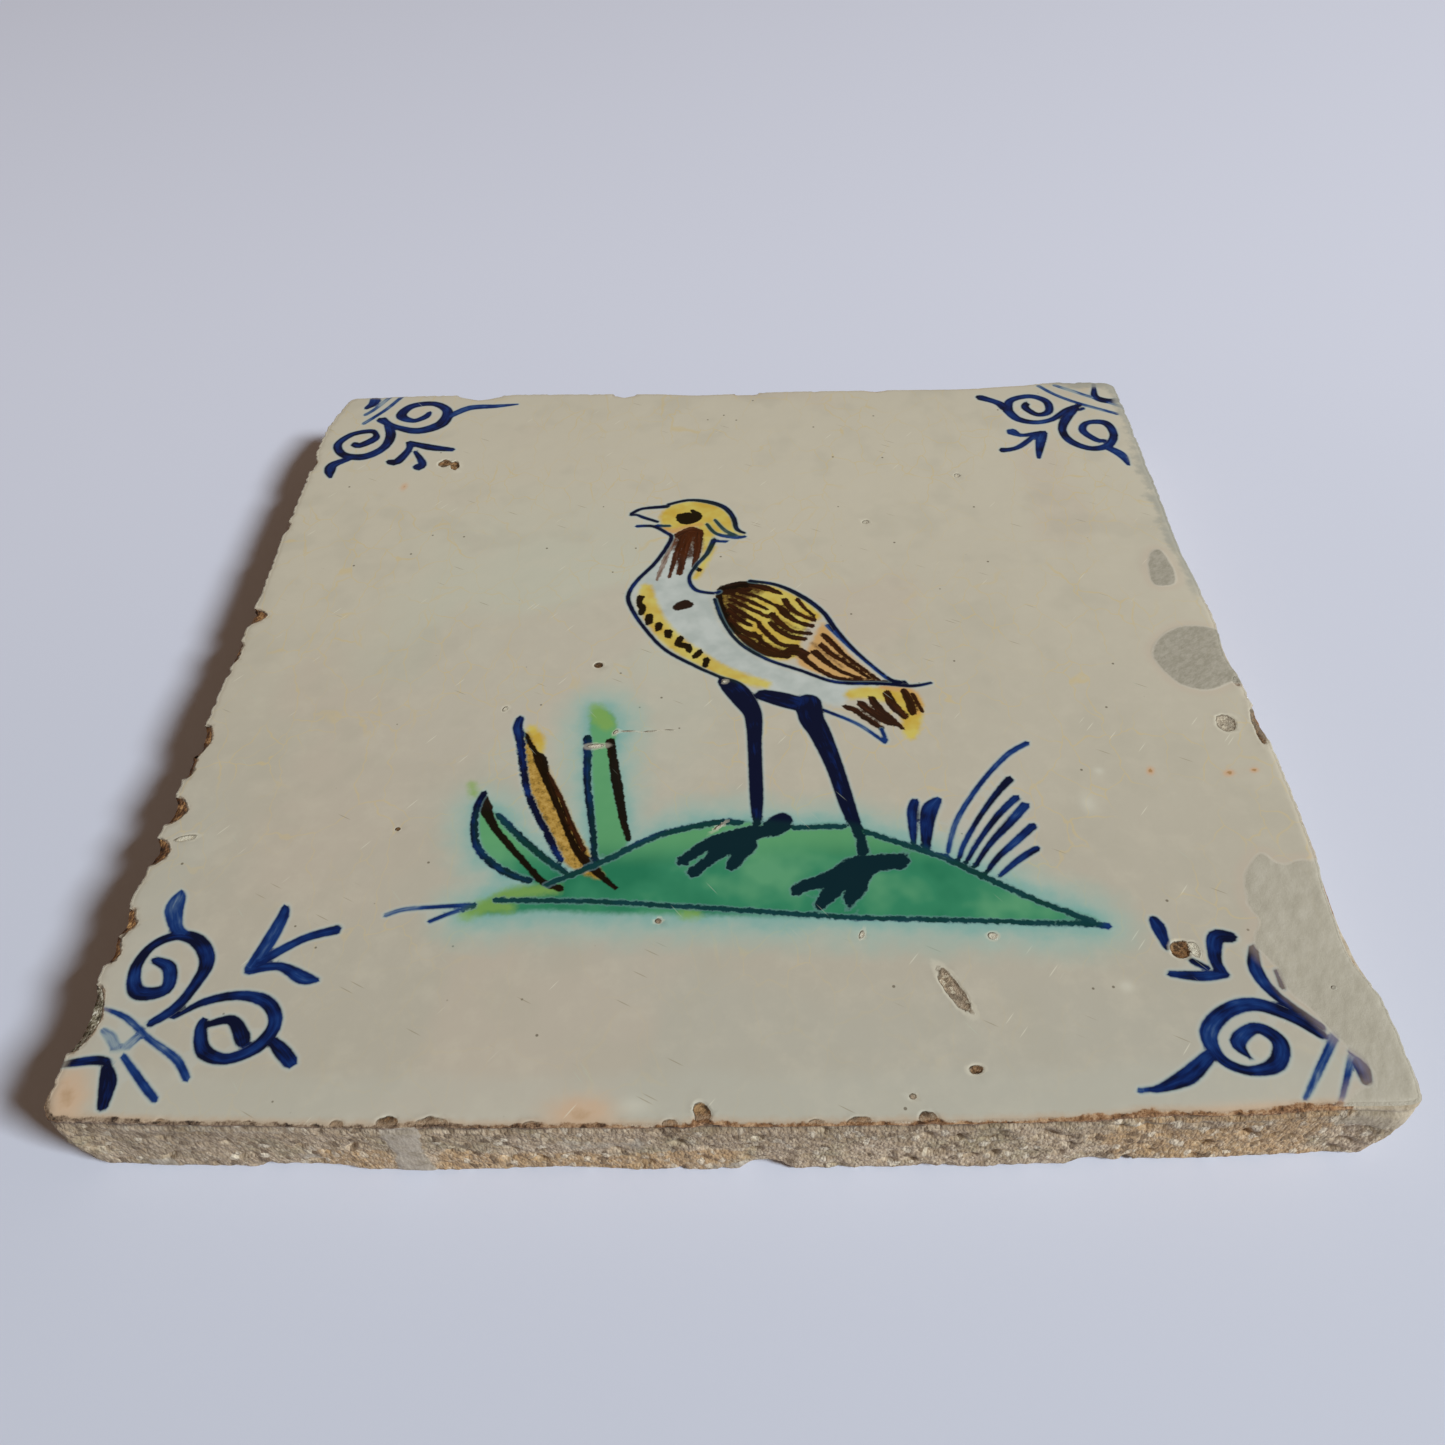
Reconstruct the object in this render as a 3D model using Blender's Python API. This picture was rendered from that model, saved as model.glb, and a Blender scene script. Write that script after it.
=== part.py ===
"""A square wall tile of tin-glazed earthenware, lying face up.

One solid: a slab of buff clay with a glazed face. Its sides were cut with a
slant, so they lean in towards the back. The rim is worn and chipped, and the
underside is flat. Sizes are in metres, x to the right, y to the back and z
up. The origin is the middle of the underside.
"""

import math
from collections import namedtuple

import bmesh
import bpy
from mathutils import Vector, geometry

for thing in list(bpy.data.objects):
    bpy.data.objects.remove(thing, do_unlink=True)

MM = 0.001

# Driving sizes of the slab
SIDE = 0.1304
THICKNESS = 0.012
FRONT_CORNER_RADIUS = 0.0020
BACK_CORNER_RADIUS = 0.0018
UNDERCUT = 0.0008

# The rim, from the face outwards and down: the face falls away, turns over
# the lip of the glaze, and is pulled in by a shallow groove under the lip
GLAZE_THICKNESS = 0.0008
PILLOW_WIDTH = 0.0014
PILLOW_DROP = 0.00008
GROOVE_DEPTH = 0.0004
GROOVE_WIDTH = 0.0012
FOOT_ROUNDING = 0.0005

# Spacing of the points along a side and of the loose points on the face
RIM_SPACING = 0.0019
FACE_SPACING = 0.0140
CORNER_STEPS = 5

# How far each side bows out past the true square: pairs of a place along the
# side, from -1 to 1 of half the side, and a distance outwards in mm
BOW = {
    "front": ((-1, -0.6), (-0.76, -0.2), (-0.45, 0.3), (0.01, 0.4), (0.32, 0.3),
              (0.52, 0.1), (0.63, -0.5), (0.72, -0.3), (0.90, -0.9), (1, -0.9)),
    "right": ((-1, 0.4), (-0.91, 0.55), (-0.85, 0.35), (-0.77, -0.85), (-0.67, -0.65),
              (-0.54, 0.05), (-0.36, 0.45), (-0.15, 0.2), (-0.05, -0.5), (0.07, 0.05),
              (0.15, -0.15), (0.31, -0.45), (0.6, -0.1), (0.93, 0.2), (1, 0.1)),
    "back": ((-1, 0.3), (-0.91, 0.5), (-0.82, 0.7), (-0.54, 0.4), (-0.36, 0.0),
             (-0.20, -0.3), (-0.08, -0.8), (0.16, -0.4), (0.38, -0.5), (0.62, -0.7),
             (0.78, -0.2), (0.885, 0.7), (0.96, 0.5), (1, 0.2)),
    "left": ((-1, -0.5), (-0.78, -0.45), (-0.36, -0.35), (0.01, -0.35), (0.31, -0.15),
             (0.47, 0.15), (0.65, 0.25), (0.79, 0.55), (0.87, 0.35), (0.93, -0.15),
             (1, -0.85)),
}

# Chips knocked out of the rim. "place" is along the side, as in BOW. The
# others are in mm: half the width, the reach into the face, how far the
# outline itself is cut back, and the depth below the face.
Chip = namedtuple("Chip", "side place half_width bite cut depth")
CHIPS = [
    Chip("left", 0.70, 2.2, 1.3, 1.1, 1.6),
    Chip("left", 0.126, 1.7, 2.4, 0.2, 0.7),
    Chip("left", -0.238, 2.6, 1.7, 1.4, 2.2),
    Chip("left", -0.315, 1.1, 1.2, 1.0, 1.5),
    Chip("left", -0.410, 2.1, 2.2, 1.5, 1.6),
    Chip("left", -0.504, 1.9, 2.1, 1.4, 2.0),
    Chip("left", -0.655, 1.4, 1.8, 1.2, 1.5),
    Chip("left", -0.712, 1.3, 1.5, 1.0, 1.5),
    Chip("left", -0.830, 3.8, 2.0, 1.5, 2.4),
    Chip("back", -0.648, 4.0, 1.9, 1.7, 2.0),
    Chip("back", -0.268, 1.9, 1.4, 1.2, 1.5),
    Chip("back", 0.051, 2.0, 0.9, 0.8, 1.2),
    Chip("back", 0.385, 2.0, 1.5, 0.1, 0.5),
    Chip("right", -0.232, 3.2, 1.2, 0.1, 1.0),
    Chip("front", -0.029, 1.2, 1.2, 0.3, 1.2),
    Chip("front", -0.412, 1.6, 1.0, 0.2, 0.8),
    Chip("front", 0.300, 0.9, 1.0, 0.2, 0.8),
]

# Losses along the lower edge: place, then in mm half the width, the reach
# inwards along the underside, and the height
Loss = namedtuple("Loss", "side place half_width reach height")
LOSSES = [
    Loss("front", 0.060, 2.8, 1.6, 3.2),
    Loss("front", 0.560, 2.2, 0.8, 2.2),
    Loss("front", -0.640, 5.0, 0.7, 1.8),
    Loss("front", -0.260, 6.0, 0.5, 1.5),
    Loss("right", -0.500, 5.0, 0.9, 2.4),
    Loss("right", 0.310, 3.5, 1.3, 2.8),
    Loss("back", 0.420, 4.5, 1.2, 3.0),
    Loss("back", -0.350, 3.0, 0.8, 2.0),
    Loss("left", 0.200, 4.0, 1.0, 2.2),
    Loss("left", -0.560, 3.0, 1.1, 2.6),
]

# Pits in the face: the place as shares of half the side, then in mm the
# radius and the depth
Pit = namedtuple("Pit", "x y radius depth")
PITS = [
    Pit(-0.667, 0.683, 1.2, 0.45),
    Pit(0.320, 0.419, 0.7, 0.30),
    Pit(0.548, 0.595, 0.7, 0.30),
    Pit(0.731, -0.715, 1.3, 0.45),
    Pit(0.358, -0.800, 1.1, 0.30),
    Pit(0.375, -0.922, 0.9, 0.35),
    Pit(0.933, -0.218, 1.6, 0.25),
]

HALF = SIDE / 2

# Each side in the order that goes round the tile to the left, with the way
# it faces and the way its places run. The last value says that the walk
# round meets the places from the low end to the high one.
Side = namedtuple("Side", "name outward along rising")
WALK = [
    Side("front", Vector((0, -1)), Vector((1, 0)), True),
    Side("right", Vector((1, 0)), Vector((0, 1)), True),
    Side("back", Vector((0, 1)), Vector((1, 0)), False),
    Side("left", Vector((-1, 0)), Vector((0, 1)), False),
]

# A point of the outline: "lean" is the way it moves, for each metre that the
# sides draw in all round, and "outward" is the way that its side faces
Station = namedtuple("Station", "base outward lean side place")


def bow(side, share):
    """The distance that a side stands out at this share of half its length."""
    points = BOW[side]
    for (low, start), (high, end) in zip(points, points[1:]):
        if share <= high:
            t = max(0.0, (share - low) / (high - low))
            return (start + (end - start) * t * t * (3 - 2 * t)) * MM
    return points[-1][1] * MM


def corner_radius(first, second):
    return BACK_CORNER_RADIUS if "back" in (first, second) else FRONT_CORNER_RADIUS


def end_shift(side, neighbour):
    """How far the end of a side moves along with the neighbour that it meets."""
    towards = 1 if neighbour.outward.dot(side.along) > 0 else -1
    share = 1 if side.outward.dot(neighbour.along) > 0 else -1
    return towards * bow(neighbour.name, share)


def places_on(side, low, high):
    """The places along one side: evenly spread, with more at each chip."""
    steps = max(2, round((high - low) / RIM_SPACING))
    places = [low + (high - low) * i / steps for i in range(steps + 1)]
    wanted = []
    for mark in [*CHIPS, *LOSSES]:
        if mark.side == side:
            wide = mark.half_width * MM
            wanted += [mark.place * HALF + wide * t for t in (-1.0, -0.6, 0.0, 0.6, 1.0)]
    closest = RIM_SPACING * 0.3
    wanted = [w for w in wanted if low + closest < w < high - closest]
    ends = (places[0], places[-1])
    places = [p for p in places if p in ends or all(abs(p - w) > closest for w in wanted)]
    for w in wanted:
        if all(abs(p - w) > closest for p in places):
            places.append(w)
    return sorted(places)


def walk_round():
    """The stations of the rim, once round, with the corners as arcs."""
    stations = []
    for i, side in enumerate(WALK):
        before, after = WALK[i - 1], WALK[(i + 1) % 4]
        start_radius = corner_radius(before.name, side.name)
        end_radius = corner_radius(side.name, after.name)
        first, last = (before, after) if side.rising else (after, before)
        low_radius, high_radius = (
            (start_radius, end_radius) if side.rising else (end_radius, start_radius))
        low, high = -HALF + low_radius, HALF - high_radius
        low_shift, high_shift = end_shift(side, first), end_shift(side, last)

        places = places_on(side.name, low, high)
        if not side.rising:
            places.reverse()
        for place in places:
            share = (place - low) / (high - low)
            slide = low_shift + (high_shift - low_shift) * share
            spread = -1 + 2 * share
            base = (side.outward * (HALF + bow(side.name, spread))
                    + side.along * (place + slide))
            lean = side.outward + side.along * spread
            stations.append(Station(base, side.outward, lean, side.name, place))

        corner = (side.outward + after.outward) * (HALF - end_radius)
        end = 1 if after.outward.dot(side.along) > 0 else -1
        corner += side.outward * bow(side.name, end)
        corner += side.along * end_shift(side, after)
        for step in range(1, CORNER_STEPS):
            turn = math.pi / 2 * step / CORNER_STEPS
            outward = side.outward * math.cos(turn) + after.outward * math.sin(turn)
            lean = side.outward + after.outward
            base = corner + outward * end_radius
            stations.append(Station(base, outward, lean, None, 0.0))
    return stations


def marks_at(station, marks):
    """Each chip or loss that reaches this station, with how deep it is there."""
    for mark in marks:
        if mark.side != station.side:
            continue
        t = (station.place - mark.place * HALF) / (mark.half_width * MM)
        if abs(t) < 1:
            yield mark, math.sqrt(1 - t * t) * MM


def profile(station):
    """How far each ring leans in, its inset and its height at one station."""
    bite = cut = depth = 0.0
    for chip, strength in marks_at(station, CHIPS):
        bite = max(bite, chip.bite * strength)
        cut = max(cut, chip.cut * strength)
        depth = max(depth, chip.depth * strength)
    reach = rise = 0.0
    for loss, strength in marks_at(station, LOSSES):
        reach = max(reach, loss.reach * strength)
        rise = max(rise, loss.height * strength)

    lip = GLAZE_THICKNESS
    groove = lip + GROOVE_WIDTH / 2
    below = lip + GROOVE_WIDTH
    sheltered = GROOVE_DEPTH * 0.35
    foot = FOOT_ROUNDING
    return [
        (0.0, max(PILLOW_WIDTH, bite + PILLOW_WIDTH * 0.25), THICKNESS - PILLOW_DROP),
        (0.0, max(PILLOW_WIDTH * 0.35, cut + (bite - cut) * 0.6),
         THICKNESS - max(lip * 0.35, depth * 0.55)),
        (0.0, cut, THICKNESS - max(lip, depth * 0.8)),
        (0.0, max(GROOVE_DEPTH, cut * 0.9), THICKNESS - max(groove, depth)),
        (0.0, max(sheltered, cut * 0.5), THICKNESS - max(below, depth + GROOVE_WIDTH * 0.3)),
        (UNDERCUT * 0.5, sheltered + reach * 0.1, max(THICKNESS * 0.45, rise + foot)),
        (UNDERCUT, reach * 0.45, max(foot, rise * 0.6)),
        (UNDERCUT, foot + reach, 0.0),
    ]


def face_points():
    """Loose points of the face, and of the pits in it, as x, y and z."""
    points = []
    inner = HALF - PILLOW_WIDTH * 3
    count = max(2, round(2 * inner / FACE_SPACING))
    for i in range(count + 1):
        for j in range(count + 1):
            x = -inner + 2 * inner * i / count
            y = -inner + 2 * inner * j / count
            clear = all(
                math.hypot(x - pit.x * HALF, y - pit.y * HALF) > 2.5 * pit.radius * MM
                for pit in PITS)
            if clear:
                points.append((x, y, THICKNESS))
    for pit in PITS:
        x, y = pit.x * HALF, pit.y * HALF
        points.append((x, y, THICKNESS - pit.depth * MM))
        for share, sink, sides in ((0.55, 0.75, 7), (1.0, 0.0, 9)):
            for i in range(sides):
                turn = math.tau * (i + 0.5 * share) / sides
                points.append((x + pit.radius * share * MM * math.cos(turn),
                               y + pit.radius * share * MM * math.sin(turn),
                               THICKNESS - sink * pit.depth * MM))
    return points


def make_material(name, colour, roughness):
    material = bpy.data.materials.new(name)
    material.use_nodes = True
    shader = material.node_tree.nodes["Principled BSDF"]
    shader.inputs["Base Color"].default_value = (*colour, 1)
    shader.inputs["Roughness"].default_value = roughness
    shader.inputs["Metallic"].default_value = 0
    return material


def make_tile():
    """The slab: rings from the face down to the foot, then face and underside."""
    bm = bmesh.new()
    stations = walk_round()
    rings = [[] for _ in profile(stations[0])]
    for station in stations:
        for ring, (drawn_in, inset, height) in zip(rings, profile(station)):
            spot = station.base - station.lean * drawn_in - station.outward * inset
            ring.append(bm.verts.new((spot.x, spot.y, height)))

    glaze, clay = 0, 1
    count = len(stations)
    for level, (upper, lower) in enumerate(zip(rings, rings[1:])):
        for i in range(count):
            j = (i + 1) % count
            band = bm.faces.new((upper[j], upper[i], lower[i], lower[j]))
            band.material_index = glaze if level < 2 else clay

    loose = face_points()
    flat = [v.co.xy for v in rings[0]] + [Vector(p[:2]) for p in loose]
    cover = geometry.delaunay_2d_cdt(flat, [], [list(range(count))], 1, 1e-7)
    corners = list(rings[0])
    corners += [bm.verts.new(p) for p in loose]
    for triangle in cover[2]:
        picked = [corners[cover[3][v][0]] for v in triangle]
        face = bm.faces.new(picked)
        face.material_index = glaze
        face.normal_update()
        if face.normal.z < 0:
            face.normal_flip()

    underside = bm.faces.new(list(reversed(rings[-1])))
    underside.material_index = clay
    bmesh.ops.triangulate(bm, faces=bm.faces[:])
    bmesh.ops.recalc_face_normals(bm, faces=bm.faces[:])

    mesh = bpy.data.meshes.new("tile")
    bm.to_mesh(mesh)
    bm.free()
    mesh.materials.append(make_material("tin_glaze", (0.47, 0.43, 0.33), 0.22))
    mesh.materials.append(make_material("buff_clay", (0.33, 0.25, 0.17), 0.85))
    mesh.shade_smooth()
    mesh.set_sharp_from_angle(angle=math.radians(35))
    tile = bpy.data.objects.new("tile", mesh)
    bpy.context.collection.objects.link(tile)
    return tile


make_tile()
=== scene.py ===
import math
import random
from collections import namedtuple

import bpy
import numpy as np
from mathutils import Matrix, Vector, geometry, noise
from mathutils.bvhtree import BVHTree
from mathutils.kdtree import KDTree


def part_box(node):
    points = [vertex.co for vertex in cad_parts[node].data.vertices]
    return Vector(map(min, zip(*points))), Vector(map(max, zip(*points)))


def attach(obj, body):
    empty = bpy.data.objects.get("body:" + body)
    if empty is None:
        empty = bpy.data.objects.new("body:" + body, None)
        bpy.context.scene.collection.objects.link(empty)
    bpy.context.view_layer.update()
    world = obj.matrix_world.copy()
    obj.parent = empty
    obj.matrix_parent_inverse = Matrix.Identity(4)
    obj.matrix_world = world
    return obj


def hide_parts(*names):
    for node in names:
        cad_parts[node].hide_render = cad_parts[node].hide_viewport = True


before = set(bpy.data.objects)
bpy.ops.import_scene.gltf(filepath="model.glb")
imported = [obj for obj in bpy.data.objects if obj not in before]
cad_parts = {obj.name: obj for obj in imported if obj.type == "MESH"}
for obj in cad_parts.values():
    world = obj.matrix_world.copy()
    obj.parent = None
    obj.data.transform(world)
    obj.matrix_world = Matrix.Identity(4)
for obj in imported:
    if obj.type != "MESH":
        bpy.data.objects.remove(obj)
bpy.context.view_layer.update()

# The slab's form, as the potter left it: a clay square cut with a slant, dipped
# in glaze, and chipped round its rim. Rays shot at the frame's tile read how
# far it reaches at each place round the rim and each height. Sizes are in mm.
MM = 0.001
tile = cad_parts["tile"]
_, high_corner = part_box("tile")
THICKNESS = high_corner.z / MM
HALF = min(high_corner.x, high_corner.y) / MM
GLAZE_EDGE = 0.34           # the glaze turns over the rim this far down
LIP = 0.8                   # the slab is widest this far down, and grooved below it
BITE_LEVEL = 0.2            # a chip's bite into the face is read this far down
PILLOW = 1.08               # how far in the unbroken face is at that level
BITE_GAIN = 1.4             # a bite is this much wider at the very top
RIM_STEP = 0.28             # between places round the rim
WALK_CORNER = 3.0           # the places go round each corner at this radius
RAY_START = 8.0             # the rays start this far outside
ROW_STEP = 0.32             # between rows of points on the sides
FOOT = 0.40                 # the lowest row of the side stands this high

solid = BVHTree.FromPolygons(
    [v.co / MM for v in tile.data.vertices], [p.vertices[:] for p in tile.data.polygons])


def rim_stations():
    """Places round the rim, to the left: a point, the way out, and the side's number."""
    stations = []
    reach = HALF - WALK_CORNER
    for side in range(4):
        out = Vector((math.sin(side * math.pi / 2), -math.cos(side * math.pi / 2)))
        along = Vector((-out.y, out.x))
        steps = round(2 * reach / RIM_STEP)
        for i in range(steps):
            place = -reach + 2 * reach * i / steps
            stations.append((out * HALF + along * place, out, side))
        turns = round(WALK_CORNER * math.pi / 2 / RIM_STEP)
        for i in range(turns):
            turn = math.pi / 2 * i / turns
            way = out * math.cos(turn) + along * math.sin(turn)
            stations.append(((out + along) * reach + way * WALK_CORNER, way, side))
    return stations


def read_reach(stations, height):
    """How far inside each station's point the solid's side is, at one height."""
    found = []
    for point, out, side in stations:
        start = point + out * RAY_START
        hit = solid.ray_cast(Vector((start.x, start.y, height)), Vector((-out.x, -out.y, 0)))
        found.append(hit[3] - RAY_START)
    return np.array(found)


def evened(values, width):
    """A closed row of values with its facets rubbed out over a few stations."""
    weights = np.exp(-np.linspace(-2, 2, 2 * width + 1) ** 2)
    padded = np.concatenate((values[-width:], values, values[:width]))
    return np.convolve(padded, weights / weights.sum(), mode="valid")


def clipped(value):
    return min(1.0, max(0.0, value))


def fractal(x, y, z, octaves=3):
    return noise.fractal(Vector((x, y, z)), 1.0, 2.0, octaves)


stations = rim_stations()
rim_points = np.array([s[0][:] for s in stations])
rim_out = np.array([s[1][:] for s in stations])
rows = round((THICKNESS - GLAZE_EDGE - FOOT) / ROW_STEP)
row_heights = np.linspace(THICKNESS - GLAZE_EDGE, FOOT, rows + 1)
side_reach = np.array([evened(read_reach(stations, min(z, THICKNESS - LIP)), 2) for z in row_heights])
bites = (evened(read_reach(stations, THICKNESS - BITE_LEVEL), 1) - PILLOW) * BITE_GAIN

# Under a chip only the glaze is gone: the clay stands out nearly as far as beside it
CLAY_GONE = {0: 0.6, 1: 0.6, 2: 0.6, 3: 0.3}
CHIP_REACH = 20             # stations to each side, more than half the widest chip
CORNER_ZONE = 58            # beyond this both ways, a corner was knocked off, clay and all
kept_clay = np.abs(rim_points).min(axis=1) < CORNER_ZONE
share = np.array([CLAY_GONE[s[2]] for s in stations])
for reach in side_reach:
    whole = evened(np.min([np.roll(reach, k) for k in range(-CHIP_REACH, CHIP_REACH + 1)], axis=0), 6)
    reach[kept_clay] = (np.minimum(whole, reach) * (1 - share) + reach * share)[kept_clay]

# Fine nicks break the glaze all round the rim, most of all at the left, and
# chips of 1 to 2 mm have left the orange clay open
NICKS = {0: 0.10, 1: 0.22, 2: 0.30, 3: 0.40}
NICKED = 0.15               # a rim gone this far shows no open clay yet
TORN = 0.75                 # and from this far on it is all open


def nick(index):
    """How deep the rim is nicked at one place: teeth, fine ones between, and wider gaps."""
    x, y = rim_points[index]
    depth = NICKS[stations[index][2]]
    teeth = abs(fractal(x * 0.55, y * 0.55, 3.0, 2))
    fine = max(0.0, fractal(x * 1.3, y * 1.3, 6.0, 2))
    gaps = max(0.0, fractal(x * 0.30, y * 0.30, 8.0, 2) - 0.22)
    return depth * (1.1 * teeth + 0.6 * fine + 2.0 * gaps)


nicks = np.array([nick(i) for i in range(len(stations))])
reach_now = np.maximum(side_reach[0] + nicks, bites + 0.4 * nicks)
rim = rim_points - rim_out * reach_now[:, None]
broken = np.clip((reach_now - side_reach[0] - NICKED) / (TORN - NICKED), 0, 1)


# The painting: a bird on a green mound, with a scrolled motif in each corner.
# It was brushed on the raw white glaze in cobalt blue, manganese brown, yellow,
# orange and green, and sank into the glaze in the kiln.
PICTURE_MIDDLE = (0.75, 0.5)    # the painting's points are in mm from here
BRUSH_STEP = 0.40           # between the points worked out along a stroke
PIGMENTS = ("blue", "brown", "umber", "yellow", "orange", "ochre", "green", "lime", "body")
painted = {pigment: [] for pigment in PIGMENTS}


def curve_piece(a, b, c, d, step):
    """Points on the smooth curve from b up to c, which comes from a and goes on to d."""
    pieces = max(1, round(math.dist(b[:2], c[:2]) / step))
    return [0.5 * (2 * b + (c - a) * t + (2 * a - 5 * b + 4 * c - d) * t * t
                   + (3 * b - a - 3 * c + d) * t ** 3) for t in np.arange(pieces) / pieces]


def stroke(pigment, load, *points):
    """One pull of the brush through the points. The load is how dark it runs.

    A point's third value is half the brush's width there, which stays until it changes.
    """
    knots = []
    for x, y, *new_width in points:
        width = new_width[0] if new_width else width
        knots.append((x + PICTURE_MIDDLE[0], y + PICTURE_MIDDLE[1], width))
    knots = np.array(knots)
    knots = np.vstack((knots[0], knots, knots[-1]))
    line = []
    for a, b, c, d in zip(knots, knots[1:], knots[2:], knots[3:]):
        line += curve_piece(a, b, c, d, BRUSH_STEP)
    line.append(knots[-1])
    painted[pigment].append((load, np.array(line)))


def wash(pigment, *points):
    """A flat area filled with the brush inside the points."""
    painted[pigment].append((None, np.array(points) + PICTURE_MIDDLE))


# Motif at the back left
stroke("blue", 0.9, (-57.6, 57.6, .8), (-55.4, 55.7, .55), (-51.1, 54, .85), (-47.5, 55.9, 1.05),
       (-47, 59.8, .8), (-49.7, 62.3, .65), (-53.3, 61.7, .75), (-54.6, 58.8, .85), (-52.3, 57.1, .55),
       (-50.4, 58.3, .6), (-50, 59.6, .35))
stroke("blue", 0.6, (-46.6, 58.1, .6), (-43.4, 60.8, .7), (-39.1, 61.2, .5), (-35.5, 61.7, .15))
stroke("blue", 0.9, (-56.4, 56.4, .6), (-55.15, 52.6, .8), (-55.7, 49, .75), (-58.3, 46.7, .85),
       (-61.7, 47.4, .65), (-63.3, 50.4), (-61.7, 53.3, .6), (-58.8, 54.2, .55), (-57.7, 53.3, .4),
       (-57.7, 51.8, .75), (-59.6, 50, .7), (-60.6, 50.4, .6))
stroke("blue", 0.85, (-60.8, 46.1, .6), (-62.8, 44.5, .85), (-62.8, 42.7, .8), (-62.3, 41, .2))
stroke("blue", 0.9, (-51.8, 50.6, .45), (-48, 49, .75), (-44.3, 48.2, .45))
stroke("blue", 0.9, (-51.6, 50.4, .5), (-51.4, 48.5, .55), (-52.6, 45.1, .8), (-53.8, 45.1, .6))
stroke("blue", 0.9, (-50.2, 47.8, .3), (-48.5, 44.6, .6), (-48.8, 43.3, .75), (-49.4, 43.7, .45))
stroke("blue", 0.9, (-60.1, 64.3, .85), (-60.1, 62.9, .8), (-61, 61.4, .4))
stroke("blue", 0.3, (-57.7, 64.8, .3), (-59.5, 61), (-60.7, 59.3))
stroke("blue", 0.35, (-55.7, 64.8, .3), (-57.6, 60.7), (-60.4, 56.6))

# Motif at the back right
stroke("blue", 0.9, (41.8, 60.6, .8), (44.2, 59, .65), (45.4, 57.4, 1))
stroke("blue", 0.85, (45.6, 56.4, .8), (46.6, 59.5, .6), (49.9, 60.7), (52.3, 59, .65), (52.2, 55.9, .6),
       (50.2, 55, .55), (48.6, 57.1, .6), (49, 58.4, .5))
stroke("blue", 0.85, (45.6, 56.4, .8), (46.8, 53.8, .7), (49.4, 52.7, .55), (52.3, 53.5, .5),
       (55.2, 56.2, .55), (57.8, 57.8, .35))
stroke("blue", 0.8, (57.3, 56.2, .3), (57.9, 56.6))
stroke("blue", 0.85, (56.6, 56.6, .6), (54.5, 53.5, .75), (53.3, 50.2, .6), (54, 47, .65), (56.6, 44.9, .6),
       (59.5, 45.6, .65), (61.1, 48.7, .6), (60.5, 52.1, .7), (57.6, 52.2, .5), (56.5, 49.9, .6),
       (58.1, 47.2, .55), (59.2, 47, .4))
stroke("blue", 0.8, (59.3, 45.1, .6), (61, 43, .75), (61.5, 40.2, .2))
stroke("blue", 0.9, (49.9, 49.7, .45), (47, 49, .4), (46.1, 49.2, .5), (45.3, 50, .9))
stroke("blue", 0.9, (49.2, 49.4, .4), (46.1, 46.1, .45), (44.4, 45.1), (43, 44.9, .6))
stroke("blue", 0.85, (50.3, 49.7, .5), (49.6, 48.2, .8), (48.6, 44.4, .5), (48.2, 42.6, .25))
stroke("blue", 0.4, (52, 64, .3), (54.2, 61), (57.6, 58.1), (63, 54.8))
stroke("blue", 0.25, (54.7, 64.1, .3), (57.8, 61.7), (59.3, 60.5), (64.6, 56.8))
stroke("blue", 0.9, (61.2, 64.1, .25), (61, 62.9, .3), (60.6, 60.2, .6), (61.7, 59, .75), (63.1, 58.8, .6),
       (64.6, 59.2, .5))

# Motif at the front left
stroke("blue", 0.65, (-60.1, -38.4, .1), (-60.1, -39.6, .8), (-60.1, -40.9, .95), (-59, -43.4, .6),
       (-57.9, -44.2, .5))
stroke("blue", 0.9, (-57.9, -54.8, .4), (-56, -53.1, .55), (-54.9, -50.7), (-54.4, -47.7, .75),
       (-56, -45.2), (-58.5, -44.3, .55), (-60.9, -45.6, .5), (-61.7, -48.4, .6), (-60.5, -51.2, .75),
       (-57.7, -50.9, .65), (-58.1, -48.4), (-59.9, -47.4, .4))
stroke("blue", 0.9, (-55.8, -54.2, .15), (-53.2, -52.4, .4), (-49.8, -51.7, .5), (-46.8, -52.5, .65),
       (-45.3, -54.8), (-46.2, -57.3, .7), (-48.9, -58.8, .55), (-51.5, -58, .7), (-52.6, -55.6, .55),
       (-52.6, -54.5, .35))
stroke("blue", 0.95, (-52.1, -55, .3), (-49.8, -54.5, .5), (-48.2, -56.4, .75), (-48, -56.8, .7))
stroke("blue", 0.85, (-44.9, -57, .5), (-43.8, -58, .7), (-42.6, -59.2, .65))
stroke("blue", 0.65, (-48, -40.8, .35), (-47.9, -42, .6), (-48.6, -45.4, .75), (-49.7, -48.6, .5))
stroke("blue", 0.85, (-41.7, -43.8, .55), (-45.1, -45, .45), (-49.4, -48.2, .6))
stroke("blue", 0.85, (-49.6, -48.6, .6), (-46.6, -48.3, .45), (-43.8, -49.7, .7), (-42.2, -50, .2))
stroke("blue", 0.5, (-63.4, -53, .1), (-60.7, -54.1, .25), (-57.5, -56.5), (-54, -58.8, .35),
       (-52.3, -60.9, .3))
stroke("blue", 0.3, (-62.5, -55.5, .2), (-61.5, -56.2, .4), (-60.6, -57.3))
stroke("blue", 0.2, (-59.4, -57.3, .4), (-58.7, -56.3))
stroke("blue", 0.6, (-59.4, -58.4, .25), (-56.4, -61.4, .35), (-54.7, -63, .3))
stroke("blue", 1, (-65.4, -59.2, .25), (-63.9, -59, .4), (-61.9, -58.8, .45), (-60.9, -59, .4))
stroke("blue", 1, (-60.6, -59.7, .5), (-59.9, -61.2, .8), (-59.5, -63.6, .5))

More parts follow.
